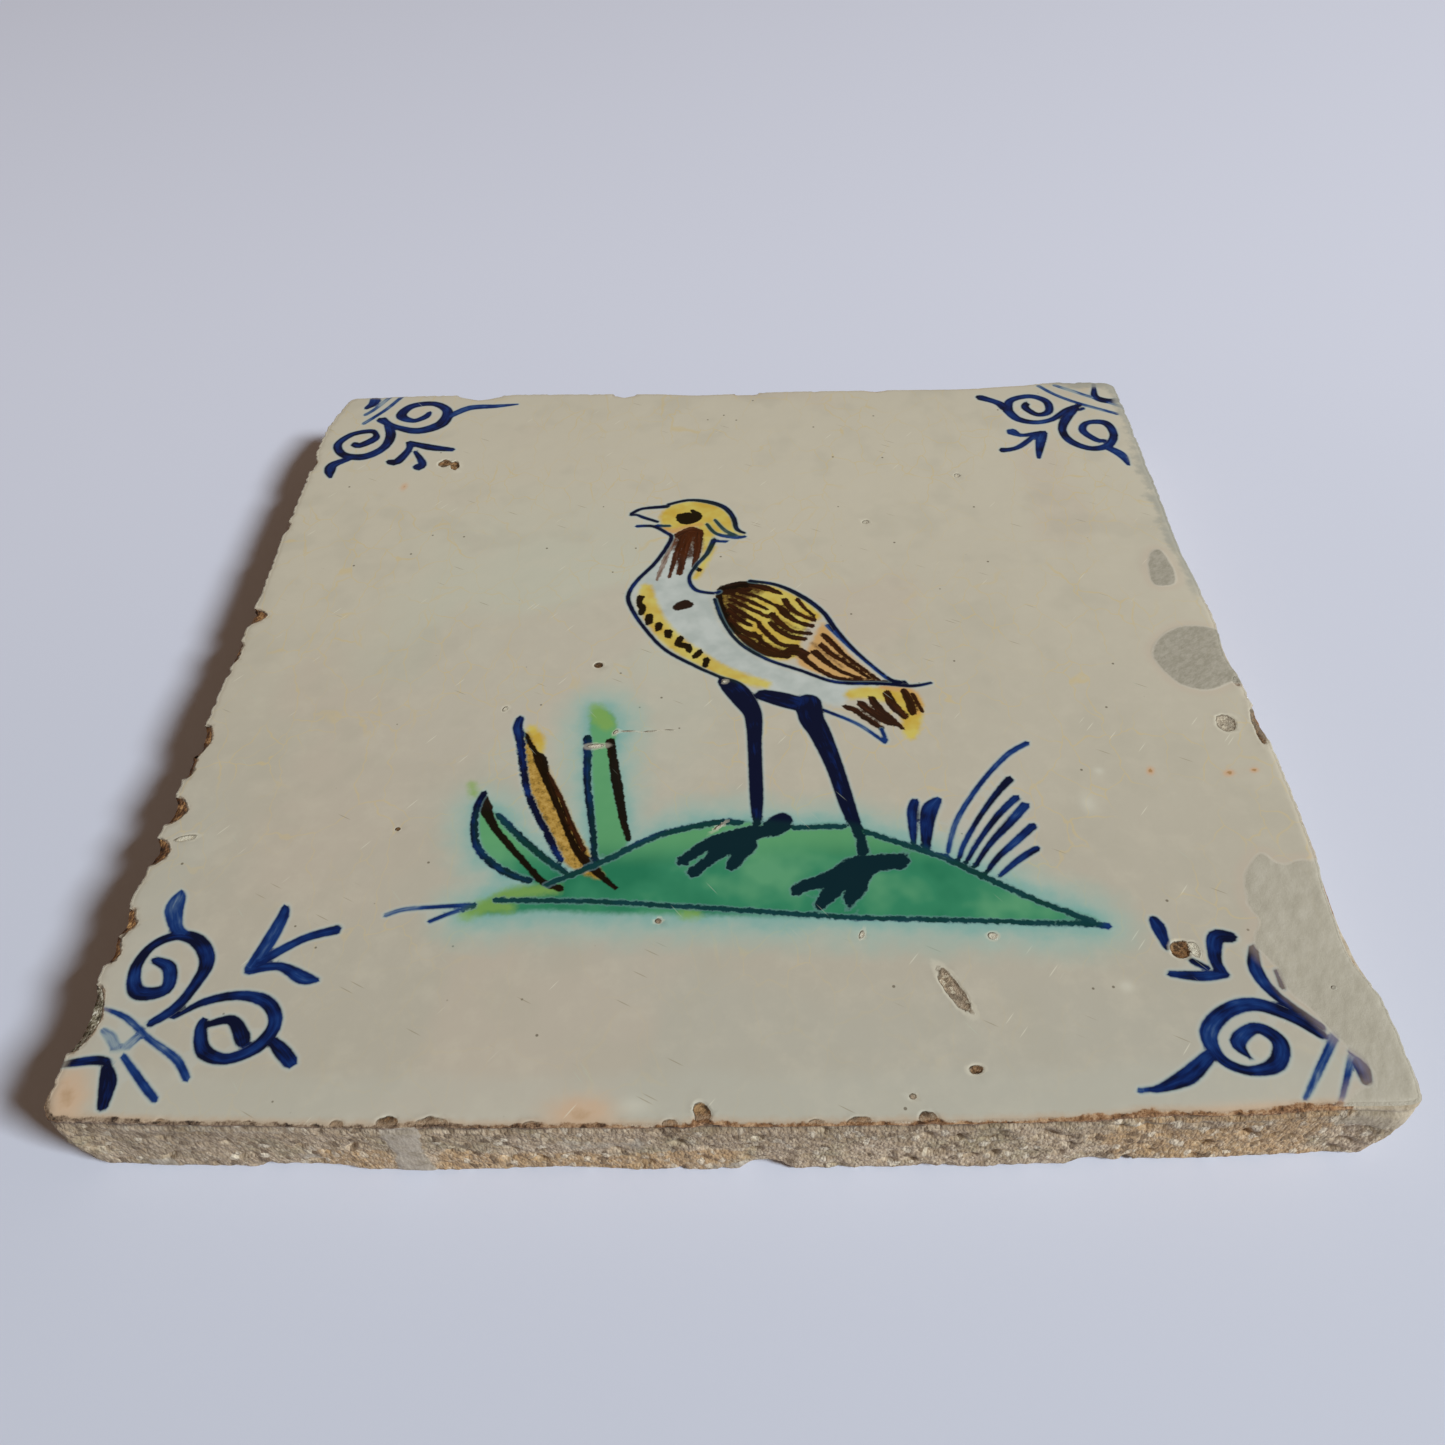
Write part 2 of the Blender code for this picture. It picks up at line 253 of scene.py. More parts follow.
# Motif at the front right, half of it lost under the filler
stroke("blue", 0.85, (57.5, -57.3, .45), (55.2, -55.2, .65), (52, -53.9, .7), (49, -54.7, .75),
       (46.7, -57, .8), (47.1, -59.7, .5), (49.4, -61, .45), (52.2, -60.3, .75), (53.2, -58),
       (51.4, -56.5, .55), (49.2, -58, .7), (49.8, -59.5, .15))
stroke("blue", 0.85, (46, -59.5, .6), (43.5, -61.5, .8), (40.6, -62.7, .35), (39.6, -62.8, .2))
stroke("blue", 0.6, (38.9, -62.9, .2), (38.6, -62.9))
stroke("blue", 0.85, (54, -47.3, .4), (53.4, -49.9, .65), (54.5, -52.9, .5), (57.9, -56.5, .25))
stroke("blue", 0.95, (55.5, -50.1, .3), (55.5, -51.9))
stroke("blue", 0.5, (58.8, -57.3, .35), (55.8, -61.2, .3), (53.7, -63.9, .15))
stroke("blue", 0.5, (59.5, -59.7, .3), (56.9, -64.2, .15))
stroke("blue", 0.95, (59.7, -59, .3), (60.1, -60.1, .7), (60, -62.1, .5))
stroke("blue", 0.9, (44.6, -43.6, .3), (44.9, -44.5, .7), (45.2, -47.1, .35))
stroke("blue", 0.9, (47.3, -48.8, .3), (48.6, -49.7))
stroke("blue", 0.9, (44.7, -50.3, .3), (47.7, -50.6, .55), (50.2, -50.4, .4))
stroke("blue", 0.9, (49.9, -50.1, .5), (49.7, -48.6, .6), (50.5, -46, .8), (52.1, -46, .6))

# The bird's outline
stroke("blue", 1.1, (-14.5, 29.9, .26), (-13, 31.1), (-10, 31.5, .34), (-9.2, 31.6))
stroke("blue", 1.1, (-9, 32.1, .26), (-6, 33.1, .26), (-2.9, 32.5, .38), (-.6, 31), (.7, 28.5, .34),
       (1.2, 25.7, .3), (2.3, 24.7, .19))
stroke("blue", 0.7, (-3.2, 27, .22), (-1.75, 24.6, .26), (.9, 23.7, .34), (2.4, 23.8, .19))
stroke("blue", 0.6, (-2, 28, .19), (-.6, 25.5, .26), (1.2, 23.9, .3))
stroke("blue", 1, (-14.5, 29.6, .22), (-13.7, 29.6), (-12.4, 28.8, .26), (-10.5, 27.8, .22))
stroke("blue", 1.05, (-13.5, 26.8, .26), (-11.1, 26.7, .26), (-9, 25), (-8.3, 24), (-9, 21.4),
       (-10.5, 17.9), (-12.8, 14.1), (-13.8, 11), (-13.3, 8.4, .26), (-11.5, 4.5, .22), (-8.4, -.2),
       (-4.2, -3.6, .22), (-1.2, -5.6, .19))
stroke("blue", 0.7, (-10.5, 26.85, .22), (-8.6, 26.7, .19))
stroke("blue", 0.95, (-2.1, 23.1, .38), (-3.1, 19.9, .3), (-4.55, 17.3, .22), (-5.5, 14.5),
       (-4.55, 11.9, .26), (-2.1, 11.1, .22), (-1.2, 11.4))
stroke("blue", 0.8, (-2.1, 22.9, .22), (-.4, 22.7))
stroke("blue", 1.05, (3, 13.6, .26), (6.7, 12.6), (10, 10.1, .34), (12.7, 6.8, .3), (14.4, 2.8),
       (16.8, -1.6, .22), (19.8, -5.8), (21.2, -7.1, .26), (22.4, -7.2))
stroke("blue", 0.55, (13.1, 4, .19), (15.4, .3), (17.6, -3), (20.1, -6.4))
stroke("blue", 1, (-1.9, 9.8, .19), (-.6, 4.8), (1.6, .6, .22), (5, -2.5, .22), (9.2, -4.7), (13.7, -7),
       (19.3, -7.4), (23.2, -7.9), (25.7, -7.4, .15))
stroke("blue", 0.65, (11.9, -12, .19), (15.9, -14.5), (18.9, -17.6))
stroke("blue", 0.65, (18.7, -15.4, .19), (19.1, -17.3))

# Its legs and feet
stroke("blue", 1.2, (-.5, -6.6, .8), (.8, -8, 1.4), (2, -10), (3, -12.3, 1.1), (3.2, -14.8, .95),
       (3.2, -18, .8), (3.3, -25.6, .75), (3.3, -28.8, .55), (3.3, -29.8, .5))
stroke("blue", 1.15, (4.3, -9.1, .9), (6.5, -9.9, 1.2), (8.8, -10.8))
stroke("blue", 1.15, (10, -10.8, 1.6), (10.3, -13.5, 1.5), (11.2, -16, 1.3), (12.6, -21.4, 1),
       (13.8, -27.8, .85), (14.8, -32, .5), (15, -34.2, .6))
stroke("blue", 1.4, (6.2, -29.6, 1.1), (5.4, -30.4, 1.3), (4, -31.2, .7), (2.6, -31.6, .9))
stroke("blue", 1.4, (3, -31.2, .9), (.4, -32.2, 1.2), (-2, -32.8, .8), (-4.2, -34.4, .6), (-5, -35.2, .7))
stroke("blue", 1.4, (1.6, -32.4, 1), (-.6, -33.6, 1), (-2.4, -35.4, .6), (-3.8, -36.8, .7))
stroke("blue", 1.4, (2.4, -33, .9), (1.2, -34.6, .8), (.4, -36, .6))
stroke("blue", 1.4, (19, -35.6, 1), (16.4, -35.8, 1.1), (14, -36.6, 1.6), (11.3, -37.9, 1),
       (8.3, -38.8, .7), (7.4, -39.4, .7))
stroke("blue", 1.4, (12.5, -38, 1.2), (11, -39.8, .9), (9.8, -41.4, .6))
stroke("blue", 1.4, (14.4, -37.4, 1.2), (13.8, -39.4, 1), (13, -40.8, .6))

# The bird's feathers, in brown over yellow and orange
stroke("brown", 1.1, (-7.5, 29.3, .3), (-7.2, 28.2, .45), (-6.2, 27.5, .5), (-5, 28.1, .6), (-4.4, 29, .5),
       (-5, 29.8, .5), (-5.5, 30.5, .25))
stroke("brown", 1.05, (-6.9, 29, .6), (-6, 29, 1), (-5.3, 28.9, .7))
stroke("brown", 0.85, (-10.5, 26.85, .25), (-8.6, 26.7, .2))
wash("umber", (-8.1, 24.1), (-7, 25), (-6.4, 25.8), (-4.9, 26.2), (-3.8, 25.8), (-3.6, 24.4), (-3.5, 22),
     (-4, 19.6), (-5.2, 18.6), (-6.8, 19.4), (-8.2, 21))
for plume in (
        ((-7.5, 24.4, .5), (-5.6, 25.6, .7), (-4.2, 25.2, .5)),
        ((-4.3, 25, .6), (-4.5, 20.6, .5), (-4.9, 17, .3)),
        ((-5.6, 24.6, .5), (-6.3, 20.6, .55), (-6.9, 15.5, .4)),
        ((-6.6, 24.2, .4), (-7.4, 20.4, .4), (-8.3, 14.7, .2))):
    stroke("brown", 0.62, *plume)
stroke("brown", 0.35, (-7.9, 23.4, .3), (-8.9, 19.4, .35), (-10, 14.2, .22))
stroke("brown", 1, (-4.6, 16.7, .3), (-4, 16.2, .35))
for belly_spot in (
        ((-12.1, 10.5, .5), (-12.2, 9.3, .4), (-11.7, 8.2, .5), (-11.9, 6.9, .3)),
        ((-10.7, 6.5, .5), (-10.7, 5.1)), ((-9.3, 4.8, .45), (-9.4, 3.8)), ((-8, 3.3, .5), (-8, 2.3)),
        ((-6.3, 2, .4), (-6.6, .7, .5), (-5.4, .3), (-5.2, -.5, .45)),
        ((-3.7, -.8, .45), (-4.4, -1.8, .35)), ((-2.8, -2.3, .45), (-3, -3.6, .35))):
    stroke("brown", 1, *belly_spot)
wash("brown", (-7.5, 8.6), (-5.9, 9.8), (-4.7, 8.7), (-5.6, 7.9), (-7.2, 7.6))
wash("umber", (-1.6, 12), (0, 12.9), (1.6, 13.5), (3.8, 13.3), (5.2, 12), (4.6, 10.6), (3.2, 9.6),
     (2.4, 7.8), (2.6, 5.6), (1.6, 4.2), (-.1, 4), (-1.2, 5.9), (-1.8, 8.4))
stroke("brown", 1, (-1.2, 12.1, .3), (.2, 12.5, .6), (1.8, 12.9, .65), (3.4, 12.9, .5))
stroke("brown", 1, (-1.2, 11.8, .3), (-1.3, 9.4, .5), (-.7, 6.6, .6), (.1, 4.6, .5), (1.3, 2.6, .35))
stroke("brown", 0.75, (-.4, 11.2, .5), (1.2, 11.6, .4), (3, 11.7, .35))
for feather in (
        ((3.2, 12.7, .46), (4.9, 12.1, .57), (7, 10.9, .34)),
        ((1.6, 11.2, .29), (4, 10.1), (6.2, 8.4, .25)), ((.6, 10.6, .29), (2.8, 9.3, .34), (5.2, 7.5, .25)),
        ((.3, 9.7, .34), (2.6, 7.9), (5.3, 5.9, .29)), ((.1, 8.6, .34), (2, 6.6, .4), (4.1, 4.8, .29)),
        ((.1, 7.3, .4), (1.3, 5.7), (2.9, 4.2, .29)),
        ((0, 5.6, .46), (1.3, 3.8), (2.9, 2.3), (4.2, 2, .29)),
        ((1, 2.8, .34), (2.5, 1.3, .52), (3.9, 0, .46), (6, -1.2, .46)),
        ((7.7, 9.4, .4), (8.3, 7.8, .46), (9.7, 6.2, .34), (11.5, 5.1, .34)),
        ((9.4, 9.5, .29), (10.2, 7.8, .23), (11.5, 6, .23)),
        ((6.9, 7.9, .4), (7.7, 6.5, .57), (9.2, 4.8, .34), (11.2, 3.9, .4)),
        ((5.9, 6.5, .4), (6.7, 4.9, .52), (8.4, 3, .34), (10.8, 2.4, .34)),
        ((5.6, 4.7, .34), (6.7, 3.1, .4), (8.3, 1.8), (10.1, 1.3, .4)),
        ((4.2, 4, .4), (5.5, 2, .4), (7, .3, .34), (9, -.1, .34)),
        ((3.4, 2.6, .34), (4.7, .6, .34), (6.4, -.9, .34), (8.4, -1.4, .46)),
        ((2, 1.5, .4), (3.7, -.6, .57), (6, -1.7, .46), (7.8, -2, .4)),
        ((7, -1.6, .46), (8.6, -.9, .75), (9.9, -1.6, .63)),
        ((9.2, -1.4, .52), (10.3, -3.1, .4), (11.7, -4.7, .34), (13.7, -6.2), (16.8, -7.1, .29)),
        ((11.2, -1.2, .52), (12.6, -3.1, .4), (14.2, -4.8, .29), (17, -6.6, .23)),
        ((12.2, 0, .4), (13.6, -1.9, .4), (15.1, -3.4, .29), (18, -6.4, .23)),
        ((12.6, 2, .4), (13.9, 0, .4), (15.4, -2.4, .29), (19, -6.6, .23)),
        ((15.2, -7, .23), (18.4, -7.2, .4), (21.6, -7.2, .4)),
        ((14.5, -11.4, .34), (15.6, -12, .4), (17, -13.5, .4), (18.7, -15.2, .34)),
        ((16.4, -10.8, .46), (17.7, -12.4, .57), (19.6, -14.1, .57), (20.6, -14.5, .4)),
        ((17.9, -10, .46), (18.7, -11.9, .52), (20.2, -13.8, .34), (21.3, -15.4, .23)),
        ((19.9, -9.2, .52), (20.5, -11.3, .63), (21.8, -13.4, .4)),
        ((22.1, -8.8, .46), (22.6, -10.8, .57), (22.8, -12.7, .46)), ((23.1, -9.4, .23), (24, -12.5, .23))):
    stroke("brown", 0.75, *feather)
for shade in (
        ((.9, 9.9, .5), (2.6, 8.7, .3)), ((.6, 8, .4), (2.2, 6, .3)), ((2.8, 1.9, .4), (4.4, .6, .4)),
        ((8.6, 3.6, .3), (10.6, 3.1, .3)), ((6.8, 5.6, .3), (8.4, 4, .3))):
    stroke("umber", 0.6, *shade)
for shade in (
        ((-.6, 11.4, .7), (-.9, 8.6, .7), (-.2, 5.8, .7)), ((4.6, .4, .5), (6.6, -.6, .6), (8.2, -1.2, .5)),
        ((.8, 12.2, .6), (3.4, 12, .5)), ((11, .6, .3), (12.6, -1.6, .4), (14.6, -4.2, .3))):
    stroke("umber", 0.8, *shade)
wash("yellow", (-9.4, 31), (-7.5, 32.4), (-4.4, 32.9), (-1.75, 31.7), (0, 29.4), (.8, 27), (1.2, 25),
     (2.2, 24.3), (.3, 24.1), (-1.4, 24.7), (-2.6, 23), (-3, 20.5), (-4.4, 17.5), (-5, 15), (-4, 18.5),
     (-3.7, 21), (-3.9, 24), (-4.6, 26.3), (-6, 26.4), (-9.1, 25.8), (-9.9, 27.4), (-10.2, 29))
stroke("yellow", 0.6, (-2.3, 21.5, .5), (-3.6, 17.4, .5), (-4.6, 14.5, .4))
stroke("yellow", 0.7, (-11.4, 12.6, .8), (-11.1, 9.4, 1.3), (-9.8, 5.6, 1.3), (-7.6, 1.8, 1.3),
       (-4.5, -1.4, 1.2), (-1.2, -4.2, 1), (2, -6.1, .9), (4.7, -7.2, .7))
wash("yellow", (-1.4, 10.6), (.6, 12.4), (3.3, 13.2), (6.5, 12.2), (9.8, 9.8), (12, 6.9), (12.4, 5.6),
     (10.6, 4.2), (9.5, .6), (9.3, -1.6), (7.4, -2.7), (5, -2.2), (2.6, -.4), (.6, 2.6), (-.8, 5.6),
     (-1.6, 8.2))
stroke("yellow", 0.8, (15.4, -9.2, .8), (17.4, -9, 1), (20, -9.6, 1.2), (22.4, -10.6, 1.5),
       (22.6, -13, 1.3), (22.2, -15.6, 1), (22.2, -16.6, .6))
wash("orange", (10, -1.4), (11, .9), (12.7, 4.4), (14.2, 1.4), (16.4, -3), (19, -6.6), (16.2, -6.8),
     (12, -5.6), (9.3, -3.8), (8.9, -2.2))
stroke("orange", 0.5, (19.6, -8, .5), (22.4, -8.7, .7), (23.6, -10.6, .6), (23.4, -12.6, .5))
stroke("orange", 0.5, (-9.6, 26.6, .4), (-8.2, 25.4, .6), (-6, 26.5, .4), (-4, 27, .4))
wash("body", (-8, 24), (-8.8, 21.4), (-10.4, 17.9), (-12.6, 14.1), (-13.6, 11), (-13, 8.4), (-11.3, 4.5),
     (-8.2, 0), (-4, -3.3), (-1, -5.4), (4.5, -8.4), (9.5, -9.8), (14, -11.6), (16, -9), (22, -8),
     (16, -7.2), (12, -6.2), (9.2, -4.9), (5, -2.7), (1.4, .5), (-.8, 4.7), (-2.1, 9.8), (-2.1, 11),
     (-4.4, 12), (-5.3, 14.5), (-4.4, 17.3), (-3.4, 20))

# The mound, the leaves and the grass
wash("green", (-26.6, -40.5), (-24.3, -39.1), (-21.5, -38.2), (-16.8, -36.6), (-10.6, -33.2), (-4.7, -30.4),
     (1.4, -29.7), (7.4, -30.4), (13.2, -30.4), (19.9, -33.2), (26.6, -36.9), (33.4, -41.1), (38.6, -44.1),
     (24.4, -43.6), (13.2, -43), (2, -42.6), (-9.2, -42.2), (-14.8, -42), (-19.8, -41.6), (-24.3, -42),
     (-28, -41.9))
wash("green", (-28.6, -27.6), (-28.5, -30.1), (-27.6, -33), (-26, -35), (-23.8, -36.8), (-20.6, -38.3),
     (-18, -37), (-20.9, -34), (-24, -31.4), (-26, -29), (-27.2, -27.8))
wash("green", (-16.9, -11.5), (-14.6, -12.2), (-13.8, -15), (-14.1, -20.6), (-13.2, -25.9), (-11.4, -32.4),
     (-12.4, -34.6), (-14.6, -34.2), (-15.2, -30), (-15.9, -24), (-16.6, -18))
for lime_spot in (
        ((-16.6, -10.8, .6), (-15.9, -12.4, 1.1), (-14.9, -13.9, .9)),
        ((-30.4, -23.2, .25), (-29.8, -25, .4)), ((-28, -42, .7), (-26, -40.9, .8), (-23.6, -41.2, .6)),
        ((-4.6, -42.3, .5), (-3.4, -42.4, .4))):
    stroke("lime", 0.7, *lime_spot)
stroke("blue", 0.75, (-19.8, -38.2, .3), (-14, -35.2, .34), (-7.8, -31.5, .38), (-1.4, -29.8), (1.4, -29.8))
stroke("blue", 0.7, (7.4, -30.6, .3), (13.2, -30.6))
stroke("blue", 0.65, (15.4, -31.4, .3), (19.9, -33.4, .34), (24.4, -35.5), (28.6, -38.4), (33.4, -41.3, .3),
       (38.2, -43.8, .34))
stroke("blue", 0.65, (-25.2, -40.2, .26), (-14.8, -40.5), (-5, -41.3), (3.6, -42.1), (13.2, -43),
       (24.4, -43.5), (34, -44), (38.2, -44.2, .3), (39.8, -44.5, .34))
stroke("blue", 0.45, (-36.8, -42, .2), (-35, -41.3), (-31.6, -41), (-27.4, -40.8, .25))
stroke("blue", 0.45, (-31.9, -42.9, .2), (-29.9, -41.9), (-27.4, -41))
stroke("blue", 0.96, (-28.6, -24.8, .35), (-29.2, -27, .35), (-29, -30.1, .4), (-28.2, -32.9),
       (-26.6, -34.9), (-24.3, -36.6), (-21.8, -37.7, .35))
stroke("brown", 1, (-28.6, -25.6, .5), (-28.2, -26.9, .75), (-27.3, -28.9, .5), (-26, -31, .4),
       (-22.4, -35.4, .35), (-20.4, -37.7, .4), (-18.2, -38.8))
stroke("blue", 0.92, (-26.5, -28.2, .3), (-24.3, -30.7, .4), (-20.7, -34.3), (-17.9, -36.6, .3))
wash("ochre", (-24.6, -14.8), (-23.2, -17.6), (-21.4, -21.4), (-19.2, -26), (-17.2, -30.6), (-15, -34.6),
     (-13.6, -37.4), (-15.6, -37), (-18.6, -34.8), (-20.9, -30.6), (-22.9, -26.2), (-24.2, -22),
     (-25.2, -18))
stroke("yellow", 0.9, (-24.3, -14.3, .5), (-23.2, -16.2, .7), (-22.7, -18.2, .4))
stroke("lime", 0.5, (-25.3, -15.4, .4), (-24.6, -17.6, .5), (-24.2, -19.6, .4))
stroke("blue", 0.97, (-25.9, -12.6, .45), (-26, -14.2, .55), (-25.4, -16.4, .5), (-24.8, -19.3, .4),
       (-23.7, -24.2, .35), (-22.3, -27.6), (-20.8, -30.6), (-19.4, -33.4), (-18.6, -34.9, .3))
stroke("brown", 1, (-24.9, -15.4, .3), (-23.4, -18.3, .3), (-22.6, -19.6, .75), (-21.7, -22.2, .5),
       (-20.3, -25.6, .4), (-18.6, -29.8, .35), (-17, -33.4, .4), (-15.4, -35.4, .6), (-13.7, -37.4, .35),
       (-12.2, -38.8, .2))
stroke("brown", 0.7, (-21.6, -21.6, .2), (-19.6, -25.6, .25), (-17.8, -30.1, .3), (-16.2, -33.4))
stroke("blue", 0.96, (-17.2, -16.1, .5), (-17, -18.2, .45), (-16.6, -23.4, .4), (-15.5, -30, .35),
       (-14.8, -35, .3))
stroke("brown", 1.05, (-14.4, -16.8, .6), (-13.9, -19.2, .5), (-13.2, -23.1, .6), (-12.5, -26.5, .5),
       (-11.9, -29.6, .4), (-11.2, -32, .3))
stroke("lime", 0.3, (-25.9, -40.9, .4), (-24.6, -39.9, .8), (-22.5, -39.2, .7), (-18.8, -38.8, .5))
for blade in (
        ((21.5, -27, .45), (21, -28.8, .55), (20.7, -33.3, .25)),
        ((24.1, -26.9, .5), (23.1, -28.2, .9), (22.5, -30.4, .75), (22, -33.9, .4)),
        ((32.9, -23.8, .45), (31.1, -25.9, .35), (28.6, -29.4, .25), (26.3, -33.3), (25.4, -35.5, .2)),
        ((33.2, -26.6, .4), (30.8, -29.1, .35), (28.2, -32.6, .25), (26.2, -35.8, .2)),
        ((34, -27.8, .5), (31.8, -30.4, .45), (29.2, -33.3, .3), (27, -36.5, .2)),
        ((34.3, -30.9, .45), (32.1, -33, .4), (29.8, -35.2, .3), (28.1, -37.4, .2)),
        ((34.2, -34.1, .35), (32.1, -35.5), (29.5, -37.8, .2))):
    stroke("blue", 0.8, *blade)
stroke("blue", 0.6, (35.9, -18.1, .3), (33.4, -19.8), (30.5, -23, .25), (27.9, -26.6), (25.7, -30.4),
       (24.2, -34.9, .2))


# The glazed face: the white tin glaze over the clay, with the painting in it,
# the pits and flakes it has lost, and the filler that an old repair left on it.
# Its mesh is made in code, because its points follow the brush strokes.
FACE_STEP = 0.74            # between points of the bare face
FILLER_STEP = 0.36          # and of the filler
# Rows of points inside the rim: how far inside it, and the least gap between their points
RIM_ROWS = ((0.08, 0.16), (0.18, 0.16), (0.32, 0.16), (0.55, 0.36), (0.9, 0.36), (1.4, 0.36), (2.1, 0.36))
CLOSEST = 0.14              # no two points are nearer than this
PAST_EDGE = 0.32            # a stroke has more points this far past its edge
FLAW_RINGS = (0.2, 0.45, 0.7, 0.88, 1, 1.15, 1.4)
STAIN_RINGS = (0.1, 0.5, 0.8, 1.1, 1.4)
FLAW_WALL = 0.22            # how wide a flaw's sloping wall is
FLAW_LIP = 0.10             # the glaze swells round a flaw by this share of its depth
LIP_OUT, LIP_WIDTH = 0.18, 0.16     # this far outside it, over this width
WASH_LOAD = 0.85            # a wash is as dark as a stroke with this load
FAR = 9.0                   # distances are followed this far

# Pits and flakes lost from the glaze, in mm from the tile's middle. The tint
# goes from 0, a pale break, to 1, the brown of the open clay
Flaw = namedtuple("Flaw", "x y half_length half_width turn depth tint")
FLAWS = [Flaw(*row) for row in (
    (-44.1, 44.9, 1.05, 0.95, 0.9, 0.35, 0.85), (-42.5, 44.2, 0.75, 1.25, 0.2, 0.5, 1),
    (20.9, 27.3, 0.6, 0.45, 0.3, 0.22, 0.4), (35.8, 38.8, 0.55, 0.5, 0, 0.22, 0.4),
    (-16.1, -2.6, 0.65, 0.5, 0.4, 0.28, 1), (23.5, -51.4, 3, 0.85, -1.12, 0.3, 0.6),
    (24.5, -60.1, 0.75, 0.5, 0.2, 0.3, 0.8), (47.3, -46.9, 1.1, 1.05, 0, 0.45, 1),
    (48.7, -46.9, 0.6, 0.95, 0.1, 0.15, 0.1), (61.2, -14.7, 1.55, 1.2, 1.3, 0.3, 0.5),
    (64.9, -15.2, 3.4, 0.65, 1.52, 0.45, 0.9), (64.6, -7.4, 0.9, 0.5, 1.5, 0.35, 0.8),
    (-52.7, -64.7, 0.7, 0.3, 0, 0.3, 0.9), (-44.6, -65.2, 1.2, 0.5, 0.1, 0.3, 0.8),
    (-31.2, -65.1, 1.1, 0.85, 0.2, 0.4, 0.9), (-35.9, -65.3, 0.7, 0.6, 0, 0.35, 0.9),
    (-27, -65.2, 1.7, 0.75, 0, 0.4, 0.75), (-17.5, -65.4, 0.9, 0.5, 0, 0.45, 1),
    (-1.7, -64.3, 0.8, 1.1, 0.3, 0.45, 0.95), (-4.6, -65.4, 0.9, 0.5, 0, 0.35, 0.9),
    (9, -65.4, 1, 0.45, 0, 0.3, 0.8), (12.9, -65.3, 1.3, 0.6, 0.1, 0.3, 0.9),
    (19.4, -65, 0.9, 0.8, 0.2, 0.35, 0.8), (18.2, -62.8, 0.35, 0.3, 0, 0.15, 0.6),
    (-6.6, -42.7, 0.4, 0.35, 0, 0.18, 0.6), (-37, -29.6, 0.35, 0.28, 0, 0.12, 0.9),
    (-61.3, -30.5, 1.3, 0.45, 0.2, 0.15, 0), (-15.2, -17, 1.1, 0.35, 0.1, 0.08, 0),
    (-13, -14.7, 0.5, 0.3, 0.9, 0.08, 0), (-0.3, -29.9, 0.7, 0.2, 0.7, 0.06, 0),
    (-27.2, -10.4, 0.5, 0.35, 1, 0.08, 0), (14.8, -44.7, 0.6, 0.3, 1.2, 0.1, 0),
    (28.4, -45, 0.55, 0.45, 0, 0.1, 0), (0.3, -6, 0.35, 0.3, 0, 0.1, 0.1),
    (-11.5, -14.6, 0.9, 0.14, 0, 0.05, 0), (-8.9, -14.7, 1, 0.12, 0.1, 0.05, 0),
    (-6.4, -14.5, 0.7, 0.12, -0.1, 0.05, 0), (61.2, -51.6, 0.3, 0.25, 0, 0.1, 1))]

# Soft stains: kiln orange and ochre specks where the tint is 1, pale spots where it is 0
Stain = namedtuple("Stain", "x y half_length half_width turn tint")
STAINS = [Stain(*row) for row in (
    (-13, -64.3, 4.2, 2.4, 0, 0.75), (-62.6, -62, 2.6, 4.6, 0.3, 0.75), (-57, -65.2, 6, 1.1, 0, 0.75),
    (50, -64.6, 13, 1.2, 0.04, 0.6), (50.2, -22.3, 0.8, 0.55, 1.2, 1), (59.2, -22.8, 0.9, 0.6, 0.4, 1),
    (62.2, -22.4, 0.65, 0.45, 0.3, 1), (25.4, 64.4, 2, 0.8, 0, 0.9), (41.9, -27.2, 1.6, 1, 1.5, 0),
    (40.8, -51.2, 0.8, 0.7, 0, 0), (-49.4, 38.6, 0.7, 1.2, 0, 0.8), (-8, -63.5, 2, 1, 0, 0.1),
    (44.2, -22.2, 0.7, 0.6, 0, 0))]

# Filler rubbed into old losses, as outlines in mm from the tile's middle
FILLER = [
    [(59.2, -34.7), (57, -36.9), (56.2, -38.7), (55.8, -41.2), (56.2, -43.6), (54.9, -46.1),
     (55.3, -47.6), (56.4, -49.4), (56.5, -51.6), (57.8, -53.7), (59, -55.6), (60.2, -58),
     (61.4, -59.6), (61.5, -61.7), (59.3, -62.7), (57.9, -64.5), (58.5, -68), (69, -68),
     (69, -36.2), (64.5, -35.6), (61, -36)],
    [(56.4, -6.5), (55.3, -2), (57.5, 1.5), (60.5, 3.2), (64, 2.8), (67.5, 1), (67.5, -7),
     (64, -7.6), (61, -8.9), (58.5, -8.6)],
    [(59.2, 11.6), (59, 15), (60.2, 18.9), (62, 19.2), (62.6, 15.4), (62, 12)],
]


def smooth_outline(points, step=0.5):
    """A closed curve through the points, as short straight pieces."""
    knots = np.array(points, float)
    line = []
    for i in range(len(knots)):
        a, b, c, d = (knots[(i + k) % len(knots)] for k in (-1, 0, 1, 2))
        line += curve_piece(a, b, c, d, step)
    return np.array(line)


